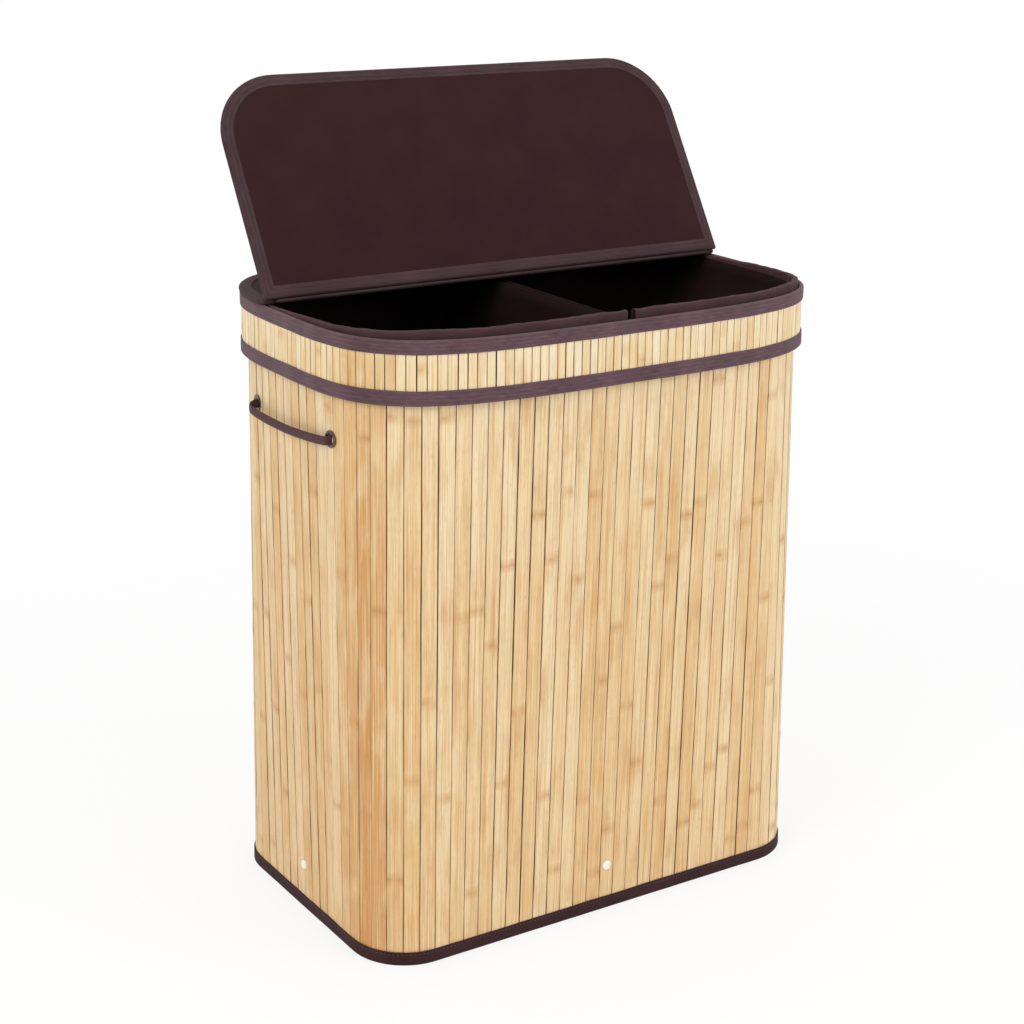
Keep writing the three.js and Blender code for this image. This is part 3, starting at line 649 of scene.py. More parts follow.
@dataclass(frozen=True)
class BoardFinish(Finish):
    """Brown hardboard, fibrous and a little blotched."""

    pale: str = "8c6a45"
    dark: str = "6b4d30"
    roughness: Point = (0.68, 0.86)
    bump: Point = (0.3, 0.0003)

    def surface(self, graph: Graph) -> tuple[dict, Socket, Point]:
        """Lays out the board's fibres.

        Args:
            graph: the material's graph.

        Returns:
            What Finish.surface returns.
        """
        place = graph.add("TexCoord").outputs["Object"]
        fibres = graph.noise(place, 420.0, 4.0)
        blotch = graph.noise(place, 18.0, 3.0)
        share = graph.ramp(graph.maths("MULTIPLY_ADD", fibres, 0.6, blotch), 0.5, 1.1)
        base = graph.mix(share, colour(self.pale), colour(self.dark))
        roughness = graph.ramp(fibres, 0.3, 0.7, self.roughness)
        return {"Base Color": base, "Roughness": roughness}, fibres, self.bump


@dataclass(frozen=True)
class MetalFinish(Finish):
    """Plated or drawn metal, lightly scratched and dulled."""

    bright: str = "c9ccd0"
    dull: str = "8f9195"
    shine: Point = (0.18, 0.38)
    bump: Point = (0.15, 0.0001)

    def surface(self, graph: Graph) -> tuple[dict, Socket, Point]:
        """Lays out the plating.

        Args:
            graph: the material's graph.

        Returns:
            What Finish.surface returns.
        """
        place = graph.add("TexCoord").outputs["Object"]
        smears = graph.noise(place, 180.0, 3.0)
        scratches = graph.stretched(place, (400.0, 400.0, 3000.0), 2.0)
        base = graph.mix(graph.ramp(smears, 0.4, 0.75), colour(self.bright), colour(self.dull))
        roughness = graph.ramp(smears, 0.3, 0.7, self.shine)
        return {"Base Color": base, "Roughness": roughness, "Metallic": 1.0}, scratches, self.bump


@dataclass(frozen=True)
class PlasticFinish(Finish):
    """Moulded white plastic, faintly speckled."""

    clean: str = "f4f2ec"
    handled: str = "dedad0"
    roughness: Point = (0.32, 0.46)
    bump: Point = (0.2, 0.0001)

    def surface(self, graph: Graph) -> tuple[dict, Socket, Point]:
        """Lays out the plastic's skin.

        Args:
            graph: the material's graph.

        Returns:
            What Finish.surface returns.
        """
        place = graph.add("TexCoord").outputs["Object"]
        skin = graph.noise(place, 900.0, 2.0)
        grime = graph.ramp(graph.noise(place, 90.0, 3.0), 0.5, 0.85)
        base = graph.mix(grime, colour(self.clean), colour(self.handled))
        return {"Base Color": base, "Roughness": graph.ramp(skin, 0.3, 0.7, self.roughness)}, skin, self.bump


SLATS = BambooFinish("body bamboo")
COLLAR_SLATS = BambooFinish("collar bamboo", "f4e4c2", "e8cd9c", "d3a566", "e2cf9f", "94683c")
BINDING = ClothFinish("binding tape", "452f36", "6f545b", 0.0009, 0.0021, 0.12)
FOOT_TAPE = ClothFinish("foot tape", "2c191b", "442a2c", 0.0009, 0.0021, 0.12, sheen=0.03, gloss=0.15)
THREAD = ClothFinish("sewing thread", "55404a", "7c646b", 0.0004)
LINER = ClothFinish("liner cloth", "190d0e", "291818", 0.0006, sheen=0.0, gloss=0.1)
CUFF = ClothFinish("cuff cloth", "38252a", "54393d", 0.0008, 0.0021, 0.05, sheen=0.03, gloss=0.15)
LID_CLOTH = ClothFinish("lid cloth", "2d1719", "391f21", 0.0009, sheen=0.0, gloss=0.12)
FLAP_TAPE = ClothFinish("flap tape", "38262a", "4f3b3d", 0.0009, 0.0021, 0.15, sheen=0.03, gloss=0.15)
STRAP = ClothFinish("strap webbing", "3c2124", "5c3a3c", 0.0011, 0.0016, 0.14)
BACKING = ClothFinish("backing cloth", "38271f", "54402f", 0.0008)
TAPE_INSIDE = ClothFinish("seam tape", "3a2a2c", "5a4645", 0.0008, by_uv=False)
BOARD = BoardFinish("hardboard")
NICKEL = MetalFinish("dark nickel", "6a5c58", "41372f")
STEEL = MetalFinish("steel wire", "a9abae", "77797c", (0.25, 0.45))
PLASTIC = PlasticFinish("white plastic")


# Meshes and pieces


def grid_over(place: Placer, columns: int, rows: int, size: Point, capped: bool = False) -> BMesh:
    """Lays a grid over a surface, with its edges merged where they meet.

    Args:
        place: the point at a share along and a share across.
        columns: cells along.
        rows: cells across.
        size: the cloth's length along and width across, which the UV map follows.
        capped: whether the open ends are filled.

    Returns:
        The grid, its faces pointing out.
    """
    mesh = bmesh.new()
    uv = mesh.loops.layers.uv.new("UVMap")
    bmesh.ops.create_grid(mesh, x_segments=columns, y_segments=rows, size=0.5)
    for face in mesh.faces:
        for loop in face.loops:
            loop[uv].uv = ((loop.vert.co.x + 0.5) * size[0], (loop.vert.co.y + 0.5) * size[1])
    for vert in mesh.verts:
        vert.co = place(round(vert.co.x + 0.5, 6), round(vert.co.y + 0.5, 6))
    bmesh.ops.remove_doubles(mesh, verts=mesh.verts, dist=MERGED)
    if capped:
        bmesh.ops.holes_fill(mesh, edges=[e for e in mesh.edges if e.is_boundary], sides=0)
    bmesh.ops.recalc_face_normals(mesh, faces=mesh.faces)
    return mesh


def gather(meshes: Iterable[BMesh], layers: Iterable[str] = ()) -> BMesh:
    """Joins meshes into one and frees them.

    Args:
        meshes: the meshes.
        layers: the names of the number layers that their points carry.

    Returns:
        The joined mesh.
    """
    whole = bmesh.new()
    whole.loops.layers.uv.new("UVMap")
    for layer in layers:
        whole.verts.layers.float.new(layer)
    for mesh in meshes:
        data = bpy.data.meshes.new("part")
        mesh.to_mesh(data)
        mesh.free()
        whole.from_mesh(data)
        bpy.data.meshes.remove(data)
    return whole


def nearest(loop: Sequence[Point] | Sequence[Triple], share: float) -> Point | Triple:
    """Returns the point of a closed loop at a share of the way round it."""
    return loop[round(share * len(loop)) % len(loop)]


def bump_at(place: float, middle: float, spread: float) -> float:
    """Returns a smooth bump of 1 at its middle that fades to 0 over a spread."""
    return math.exp(-(((place - middle) / spread) ** 2))


def sharpen(mesh: BMesh, degrees: float = 35.0) -> None:
    """Shades a mesh smooth, except over sharp edges.

    Args:
        mesh: the mesh.
        degrees: the bend from which an edge is sharp.
    """
    for face in mesh.faces:
        face.smooth = True
    for edge in mesh.edges:
        if edge.is_manifold:
            edge.smooth = edge.calc_face_angle(0.0) < math.radians(degrees)


def ripple(place: Vector, scale: float, depth: float, seed: float = 0.0) -> float:
    """Returns a smooth random offset at a place, up to about depth either way."""
    return depth * noise.noise(place * scale + Vector((seed, seed, seed)))


def piece(
    name: str,
    mesh: BMesh,
    finish: Finish,
    slot: Slot,
    body: Body | None,
    stands_for: Sequence[str] = (),
    cloth: float = 0.0,
) -> bpy.types.Object:
    """Makes a finished piece of a mesh and fixes it to its body.

    Args:
        name: the piece's name.
        mesh: its shape, which is freed.
        finish: its finish.
        slot: the record's slot that it belongs to; not used.
        body: the body that it rides on, or None where it bends between two.
        stands_for: the frame's nodes that it replaces.
        cloth: a sheet's thickness, which lies behind its faces.

    Returns:
        The piece.
    """
    sharpen(mesh)
    data = bpy.data.meshes.new(name)
    mesh.to_mesh(data)
    mesh.free()
    made = bpy.data.objects.new(name, data)
    bpy.context.scene.collection.objects.link(made)
    data.materials.append(finish.material())
    if cloth:
        solid = made.modifiers.new("cloth thickness", "SOLIDIFY")
        solid.thickness = cloth
        solid.offset = -1.0
    if stands_for:
        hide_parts(*stands_for)
    if body:
        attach(made, body.value)
    log.info("%s: %d faces", name, len(data.polygons))
    return made


@dataclass(frozen=True)
class Stitching:
    """A row of machine stitches."""

    length: float = 0.0030
    pitch: float = 0.0042
    width: float = 0.0006
    height: float = 0.0005

    def row(self, line: StitchLine, reach: float) -> BMesh:
        """Sews a row of stitches.

        Args:
            line: the point and the outward direction at a share of the row.
            reach: the row's length.

        Returns:
            The stitches.
        """
        mesh = bmesh.new()
        count = max(1, round(reach / self.pitch))
        for k in range(count):
            share = (k + 0.5) / count
            point, out = line(share)
            ahead, _ = line(share + 0.2 / count)
            way = (ahead - point).normalized()
            side = out.cross(way).normalized()
            turn = Matrix((way * self.length / 2, side * self.width / 2, out * self.height / 2)).transposed()
            matrix = Matrix.Translation(point) @ turn.to_4x4()
            bmesh.ops.create_icosphere(mesh, subdivisions=1, radius=1.0, matrix=matrix)
        return mesh


STITCHES = Stitching()


@dataclass(frozen=True)
class TapeSection:
    """The section of a cloth tape folded over an edge.

    Its points are a distance out of the edge's face and a distance along from the fold.
    """

    face: float
    back: float
    width: float
    cloth: float = 0.0006
    radius: float = 0.0014
    puff: float = 0.0004
    seam: float = 0.0028
    seam_half: float = 0.0011
    face_rows: int = 11
    fold_rows: int = 4

    def swell(self, from_tip: float) -> float:
        """Returns how far the tape puffs out at a distance from its tip."""
        dip = bump_at(from_tip, self.seam, self.seam_half)
        return self.puff * (1 - dip) * (1 - bump_at(from_tip, 0.0, self.seam_half / 2))

    def skin(self, depth: float) -> list[Point]:
        """Returns one side of the cloth from tip to tip.

        Args:
            depth: how far it lies below the cloth's outside.

        Returns:
            Its points.
        """
        out, inn = self.face - depth, self.back + depth
        radius, drop = self.radius - depth / 2, self.radius - depth
        reach = self.width - self.radius
        points = []
        for k in range(self.face_rows + 1):
            gone = reach * k / self.face_rows
            points.append((out + self.swell(gone), self.width - gone))
        turns = [math.pi / 2 * k / self.fold_rows for k in range(self.fold_rows + 1)]
        points += [(out - radius * (1 - math.cos(a)), self.radius - drop * math.sin(a)) for a in turns[1:]]
        points += [(inn + radius * (1 - math.sin(a)), self.radius - drop * math.cos(a)) for a in turns]
        points.append((inn - self.puff / 2, (self.width + self.radius) / 2))
        points.append((inn, self.width))
        return points

    def loop(self) -> list[Point]:
        """Returns the closed section, over its outside and back along its inside."""
        return [*self.skin(0.0), *reversed(self.skin(self.cloth))]


@dataclass(frozen=True)
class WallTape:
    """A tape folded over a wall's edge all the way round."""

    wall: Wall
    section: TapeSection
    fold: float  # height of the fold's outside
    rise: int  # 1 where the tape stands up from its fold, -1 where it hangs down
    columns: int = 360
    waver: float = 0.00018
    finish: Finish = BINDING

    def mesh(self) -> BMesh:
        """Folds the tape over the edge.

        Returns:
            The tape.
        """
        loop = self.section.loop()

        def place(along: float, across: float) -> Vector:
            """Lays a point of the tape.

            Args:
                along: its share round the wall.
                across: its share round the section.

            Returns:
                The point.
            """
            out, width = nearest(loop, across)
            height = self.fold + self.rise * width
            point = self.wall.point(along % 1.0, height, out)
            loose = width / self.section.width
            point += self.wall.normal(along % 1.0, height) * ripple(point, 45.0, self.waver)
            point.z += loose * ripple(point, 30.0, 2 * self.waver, 5.0)
            return point

        return grid_over(place, self.columns, len(loop), (self.wall.length, 2 * self.section.width))

    def stitches(self) -> BMesh:
        """Sews the row along the tape's free edge.

        Returns:
            The stitches.
        """
        height = self.fold + self.rise * (self.section.width - self.section.seam)

        def line(share: float) -> tuple[Vector, Vector]:
            """Returns the point and the direction out at a share round the wall."""
            away = self.wall.normal(share % 1.0, height)
            return self.wall.point(share % 1.0, height, self.section.face), away

        return STITCHES.row(line, self.wall.length)

    def dress(self, edge: str, body: Body) -> None:
        """Makes the tape over an edge and its stitches."""
        piece(f"{edge}_tape", self.mesh(), self.finish, Slot.BINDING, body, [f"{edge}_binding"])
        piece(f"{edge}_tape_stitches", self.stitches(), THREAD, Slot.BINDING, body)


@dataclass(frozen=True)
class SlatSheet:
    """Upright bamboo slats side by side round a wall."""

    wall: Wall
    low: float
    high: float
    thickness: float
    node_span: Point  # least and greatest distance between two nodes
    cuts: int  # level cuts that let a slat follow the wall's twist
    seed: int
    gap: float = 0.0004
    edge_round: float = 0.0003
    node_rise: float = 0.00025
    node_half: float = 0.0075
    unevenness: float = 0.00022
    gap_spread: float = 0.0004
    waver: float = 0.0003
    painted_top_light: float = 0.85  # painted light: how much paler the slats are at the top, standing in for the brighter light there
    painted_top_light_power: float = 4.0
    tints: Point = (0.52, 0.27)  # mean and spread; 0 is pale, 1 straw and 2 amber
    most_tint: float = 1.9
    warm_corner: Point = (0.828, 0.021)  # middle and spread of the warmer slats by the front left corner
    warm_tints: Point = (0.7, 1.4)  # least and most that is added there
    warm_side: Point = (0.77, 0.07)  # the left side is a little warmer too
    warm_side_tint: float = 0.35
    uv_steps: Point = (0.07, 9.0)  # how far the grain moves from slat to slat

    @property
    def tall(self) -> float:
        """How tall the slats are."""
        return self.high - self.low

    def node_heights(self, draw: random.Random) -> list[float]:
        """Returns the heights of one slat's nodes.

        Args:
            draw: the source of their unevenness.

        Returns:
            The heights, from below.
        """
        least, most = self.node_span
        heights = []
        height = self.low + draw.uniform(-0.6, 1.0) * least
        while height < self.high - 2 * self.node_half:
            if height > self.low + 2 * self.node_half:
                heights.append(height)
            height += draw.uniform(least, most)
        return heights

    def tint(self, share: float, draw: random.Random) -> float:
        """Returns a slat's tint.

        Args:
            share: where it stands round the wall.
            draw: the source of its unevenness.

        Returns:
            The tint at its foot.
        """
        warm, side = bump_at(share, *self.warm_corner), bump_at(share, *self.warm_side)
        tint = draw.gauss(*self.tints) + draw.uniform(*self.warm_tints) * warm + self.warm_side_tint * side
        return min(self.most_tint, max(0.0, tint))

    def blank(self, width: float, nodes: Sequence[float]) -> BMesh:
        """Returns a straight slat, cut level wherever it bends or swells.

        Args:
            width: its width.
            nodes: the heights of its nodes.

        Returns:
            The slat, its outer face at Y = 0.
        """
        mesh = bmesh.new()
        mesh.loops.layers.uv.new("UVMap")
        for layer in SLAT_LAYERS.values():
            mesh.verts.layers.float.new(layer)
        bmesh.ops.create_cube(mesh, size=1.0)
        inside = -self.thickness / 2
        bmesh.ops.scale(mesh, vec=(width, self.thickness, self.tall), verts=mesh.verts)
        bmesh.ops.translate(mesh, vec=(0.0, inside, (self.high + self.low) / 2), verts=mesh.verts)
        outer = [e for e in mesh.edges if e.calc_length() > self.tall / 2 and e.verts[0].co.y > inside]
        bmesh.ops.bevel(
            mesh, geom=outer, offset=self.edge_round, affect="EDGES", segments=2, profile=0.5, material=-1
        )
        levels = [self.low + self.tall * k / (self.cuts + 1) for k in range(1, self.cuts + 1)]
        for height in nodes:
            levels += [height + self.node_half * step for step in (-1.0, -0.35, 0.0, 0.35, 1.0)]
        for level in sorted(levels):
            geometry = [*mesh.verts, *mesh.edges, *mesh.faces]
            bmesh.ops.bisect_plane(mesh, geom=geometry, plane_co=(0, 0, level), plane_no=UP, dist=MERGED)
        return mesh

    def slat(self, index: int, draw: random.Random) -> BMesh:
        """Returns one slat, split from its neighbours by narrow gaps.

        Args:
            index: its place, counter-clockwise from the front middle.
            draw: the source of its unevenness.

        Returns:
            The slat, bent to the wall.
        """
        count = self.wall.slats
        pitch = self.wall.length / count
        width = pitch - self.gap - abs(draw.gauss(0.0, self.gap_spread))
        nodes = self.node_heights(draw)
        mesh = self.blank(width, nodes)
        tint = self.tint(index / count, draw)
        shift, sink, lean = (draw.gauss(0.0, self.unevenness / 2) for _ in range(3))
        offset = Vector((self.uv_steps[0] * index, draw.uniform(0.0, self.uv_steps[1])))
        uv = mesh.loops.layers.uv["UVMap"]
        layers = mesh.verts.layers.float
        tint_layer, node_layer, across_layer = (layers[name] for name in SLAT_LAYERS.values())
        for face in mesh.faces:
            for loop in face.loops:
                loop[uv].uv = offset + Vector((loop.vert.co.x + loop.vert.co.y, loop.vert.co.z))
        for vert in mesh.verts:
            across, out, height = vert.co
            node = max(0.0, max((1 - abs(height - at) / self.node_half for at in nodes), default=0.0))
            vert[node_layer] = node
            # painted light: the tint turns paler towards the top of each slat, where the light falls brighter
            vert[tint_layer] = tint - self.painted_top_light * ((height - self.low) / self.tall) ** self.painted_top_light_power
            vert[across_layer] = 2 * across / width
            across += self.waver * noise.noise(Vector((7.1 * index, 9 * height, math.copysign(5.0, across))))
            if out > -self.thickness / 2:
                out += self.node_rise * node**2
            share = 0.5 + (across + shift) / pitch
            start, end = (self.wall.point(((index + half) / count) % 1.0, height) for half in (-0.5, 0.5))
            away = (end - start).normalized().cross(UP)
            vert.co = start.lerp(end, share) + away * (out + sink + lean * 2 * across / width)
        return mesh

    def mesh(self) -> BMesh:
        """Makes all the slats in one mesh.

        Returns:
            The slats.
        """
        draw = random.Random(self.seed)
        slats = (self.slat(index, draw) for index in range(self.wall.slats))
        sheet = gather(slats, SLAT_LAYERS.values())
        bmesh.ops.recalc_face_normals(sheet, faces=sheet.faces)
        return sheet

    def dress(self, name: str, finish: Finish, slot: Slot, body: Body, stands_for: Sequence[str]) -> None:
        """Makes the sheet of slats."""
        piece(name, self.mesh(), finish, slot, body, stands_for)


def mirrored(mesh: BMesh) -> BMesh:
    """Turns a mesh of the right side into its twin on the left."""
    bmesh.ops.scale(mesh, vec=(-1.0, 1.0, 1.0), verts=mesh.verts)
    bmesh.ops.reverse_faces(mesh, faces=mesh.faces)
    return mesh


def length_of(points: Sequence[Point]) -> float:
    """Returns the length of an open line."""
    return sum(math.dist(a, b) for a, b in zip(points, points[1:]))


def spun(profile: Sequence[Point], origin: Vector, axis: Vector, steps: int = 48) -> BMesh:
    """Turns a profile a full circle round an axis.

    Args:
        profile: its points as a radius and a height along the axis.
        origin: where the axis starts.
        axis: its direction.
        steps: faces round the axis.

    Returns:
        The turned mesh.
    """
    mesh = bmesh.new()
    verts = [mesh.verts.new((radius, 0.0, height)) for radius, height in profile]
    edges = [mesh.edges.new(pair) for pair in zip(verts, verts[1:])]
    bmesh.ops.spin(
        mesh, geom=[*verts, *edges], cent=(0, 0, 0), axis=UP, angle=2 * math.pi, steps=steps, use_merge=True
    )
    bmesh.ops.remove_doubles(mesh, verts=mesh.verts, dist=MERGED)
    bmesh.ops.recalc_face_normals(mesh, faces=mesh.faces)
    turn = axis.to_track_quat("Z", "Y").to_matrix().to_4x4()
    bmesh.ops.transform(mesh, matrix=Matrix.Translation(origin) @ turn, verts=mesh.verts)
    return mesh


def arc(centre: Point, radius: float, start: float, end: float, steps: int) -> list[Point]:
    """Returns points along an arc from one angle to another."""
    angles = [math.radians(start + (end - start) * k / steps) for k in range(steps + 1)]
    return [(centre[0] + radius * math.cos(a), centre[1] + radius * math.sin(a)) for a in angles]


# Rivets, eyelets and straps


@dataclass(frozen=True)
class Rivet:
    """A moulded push rivet that pins a base tab to the wall."""

    node: str
    share: float
    height: float = 0.0485
    head: float = 0.0049
    dome: float = 0.0022
    rim: float = 0.0006
    shank: float = 0.0024
    dimple: float = 0.0014
    dimple_depth: float = 0.0004
    lip: Point = (0.0001, 0.0003)
    chamfer: float = 0.0004

    def dress(self) -> None:
        """Makes the rivet, as long as its node."""
        low, high = (Vector(corner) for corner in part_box(self.node))
        axis = BODY.normal(self.share, self.height)
        lying = 0 if abs(axis.x) > abs(axis.y) else 1
        tip = Vector((0.0, 0.0, 0.0))
        tip[lying] = high[lying] if axis[lying] > 0.0 else low[lying]
        origin = tip - axis * self.dome
        origin.z = (low.z + high.z) / 2
        shape = spun(self.profile(self.dome - (high[lying] - low[lying])), origin, axis)
        name = self.node.replace("base_rivet", "push_rivet")
        piece(name, shape, PLASTIC, Slot.PLASTIC, Body.HAMPER, [self.node])

    def profile(self, tail: float) -> list[Point]:
        """Returns the rivet's section, from the dimple in its head to the end of its shank.

        Args:
            tail: where the shank ends along the axis.

        Returns:
            Its points as a radius and a height along the axis.
        """
        crown = []
        for angle in range(0, 91, 10):
            turn = math.radians(angle)
            radius = self.dimple + (self.head - self.dimple) * math.sin(turn)
            crown.append((radius, self.rim + (self.dome - self.rim) * math.cos(turn)))
        return [
            (0.0, self.dome - self.dimple_depth),
            (self.dimple * 0.6, self.dome - self.dimple_depth),
            *crown,
            (self.head - self.lip[0], self.lip[0]),
            (self.head - self.lip[1], 0.0),
            (self.shank, 0.0),
            (self.shank, tail + self.chamfer),
            (self.shank - self.chamfer, tail),
            (0.0, tail),
        ]


@dataclass(frozen=True)
class Eyelet:
    """A metal eyelet pressed through the wall, its flange rolled over."""

    node: str
    share: float
    height: float = 0.515
    bore: float = 0.0047
    barrel: float = 0.0053
    flange: float = 0.0084
    seat: float = 0.0008
    face: float = 0.0018
    back: float = -0.0044
    roll: float = 0.0011
    lip: float = 0.0005

    def profile(self) -> list[Point]:
        """Draws the closed section, from the bore over the flange and back.

        Returns:
            Its points as a radius and a height along the axis.
        """
        throat = arc((self.bore + self.roll, self.face - self.roll), self.roll, 180, 90, 5)
        rim = arc((self.flange - self.lip, self.face - self.lip), self.lip, 90, 0, 4)
        return [
            (self.bore, self.back),
            *throat,
            *rim,
            (self.flange, self.seat),
            (self.barrel, self.seat),
            (self.barrel, self.back),
            (self.bore, self.back),
        ]

    def dress(self) -> None:
        """Makes the eyelet."""
        origin = BODY.point(self.share, self.height)
        axis = BODY.normal(self.share, self.height)
        name = self.node.replace("eyelet", "rolled_eyelet")
        piece(name, spun(self.profile(), origin, axis), NICKEL, Slot.NICKEL, Body.HAMPER, [self.node])


def smooth_route(points: Sequence[Vector], steps: int) -> list[Vector]:
    """Returns points along a centripetal spline through some points.

    Args:
        points: the points that the spline runs through.
        steps: how many points it gives between two of them.

    Returns:
        The spline's points.
    """
    ends = [2 * points[0] - points[1], *points, 2 * points[-1] - points[-2]]
    route = [points[0].copy()]
    for p0, p1, p2, p3 in zip(ends, ends[1:], ends[2:], ends[3:]):
        t1 = math.sqrt((p1 - p0).length)
        t2 = t1 + math.sqrt((p2 - p1).length)
        t3 = t2 + math.sqrt((p3 - p2).length)
        for k in range(1, steps + 1):
            t = t1 + (t2 - t1) * k / steps
            a1 = p0.lerp(p1, t / t1)
            a2 = p1.lerp(p2, (t - t1) / (t2 - t1))
            a3 = p2.lerp(p3, (t - t2) / (t3 - t2))
            b1 = a1.lerp(a2, t / t2)
            b2 = a2.lerp(a3, (t - t1) / (t3 - t1))
            route.append(b1.lerp(b2, (t - t1) / (t2 - t1)))
    return route


@dataclass(frozen=True)
class Strap:
    """A flat woven handle that runs out of one eyelet and into the next, with a knot behind each."""

    side: Side
    height: float = 0.515
    half_span: float = 4.295 / 88  # of the wall's length
    width: float = 0.0086
    thickness: float = 0.0034
    reaches: Point = (0.0056, 0.0096)  # out of the wall beside the front and the rear eyelet
    sags: Point = (0.3, 0.65)  # the droop's shares there
    droop: float = 0.0066
    bend: float = 0.0044
    knot_depth: float = 0.0204  # from the wall's face in to the knots
    knot: float = 0.0064
    knot_length: float = 0.0060
    wrap_depth: float = 0.12
    edge_thinning: float = 0.12
    squareness: float = 3.2
    sides: int = 20
    steps: int = 12

    @property
    def share(self) -> float:
        """The middle of the strap round the wall."""
        return 0.75 if self.side is Side.LEFT else 0.25

    def route(self) -> list[Vector]:
        """Draws the strap's middle line.

        Returns:
            Its points from knot to knot.
        """
        hand = self.side.value
        eye = BODY.point(self.share + self.half_span, self.height)
        middle = BODY.point(self.share, self.height)
        x, y = abs(eye.x), abs(eye.y)
        bend = self.bend
        turned = bend * (1 - math.sqrt(0.5))

        def end(sign: int, reach: float, sag: float) -> list[Triple]:
            """Lays out one end on the right side.

            Args:
                sign: -1 for the front end, 1 for the rear one.
                reach: how far it stands out of the wall.
                sag: its share of the droop.

            Returns:
                Places from its knot to its bend, their height counted down from the eyelet.
            """
            return [
                (x - self.knot_depth, sign * y, 0.0),
                (x, sign * y, 0.0),
                (x + reach - bend, sign * y, self.droop * sag * 0.3),
                (x + reach - turned, sign * (y - turned), self.droop * sag * 0.7),
                (x + reach, sign * (y - bend), self.droop * sag),
            ]

        front, rear = (end(sign, *pair) for sign, pair in zip((-1, 1), zip(self.reaches, self.sags)))
        out = abs(middle.x) + sum(self.reaches) / 2
        whole = [*rear, (out, 0.0, self.droop), *reversed(front)]
        points = [Vector((hand * px, py, self.height - drop)) for px, py, drop in whole]
        return smooth_route(points, self.steps)

    def band(self) -> BMesh:
        """Makes the woven band, flat against the wall.

        Returns:
            The band.
        """
        route = self.route()
        last = len(route) - 1
        length = sum((b - a).length for a, b in zip(route, route[1:]))

        def place(along: float, across: float) -> Vector:
            """Lays a point of the band.

            Args:
                along: its share of the route.
                across: its share round the band.

            Returns:
                The point.
            """
            k = round(along * last)
            way = (route[min(k + 1, last)] - route[max(k - 1, 0)]).normalized()
            side = way.cross(UP).normalized()
            rise = side.cross(way)
            angle = 2 * math.pi * across
            c, s = math.cos(angle), math.sin(angle)
            power = 2 / self.squareness
            wide = math.copysign(abs(c) ** power, c) * self.width / 2
            deep = math.copysign(abs(s) ** power, s) * self.thickness / 2
            deep *= 1 - self.edge_thinning * (wide * 2 / self.width) ** 2
            point = route[k] + rise * wide + side * deep
            return point + side * ripple(point, 60.0, 0.0004)

        return grid_over(place, last, self.sides, (length, 2 * (self.width + self.thickness)), capped=True)

    def knot_at(self, end: Vector) -> BMesh:
        """Ties a knot, a ball of slanting wraps.

        Args:
            end: its middle.

        Returns:
            The knot.
        """

        def place(along: float, across: float) -> Vector:
            """Lays a point of the knot.

            Args:
                along: its share round the knot.
                across: its share from pole to pole.

            Returns:
                The point.
            """
            turn, tilt = 2 * math.pi * along, math.pi * across
            wrap = 1 - self.wrap_depth * (1 - math.cos(3 * turn + 4 * math.cos(tilt))) / 2
            ring = self.knot * math.sin(tilt) * wrap
            x = -self.side.value * self.knot_length / 2 * math.cos(tilt)
            return end + Vector((x, ring * math.cos(turn), ring * math.sin(turn)))

        return grid_over(place, 32, 16, (0.04, 0.02))

    def dress(self) -> None:
        """Makes the strap with its knots."""
        route = self.route()
        body = Body.HANDLE_LEFT if self.side is Side.LEFT else Body.HANDLE_RIGHT
        whole = gather([self.band(), self.knot_at(route[0]), self.knot_at(route[-1])])
        piece(f"strap_{self.side.name.lower()}", whole, STRAP, Slot.BINDING, body, [body.value])


# Liners, cuffs and the divider's sleeve


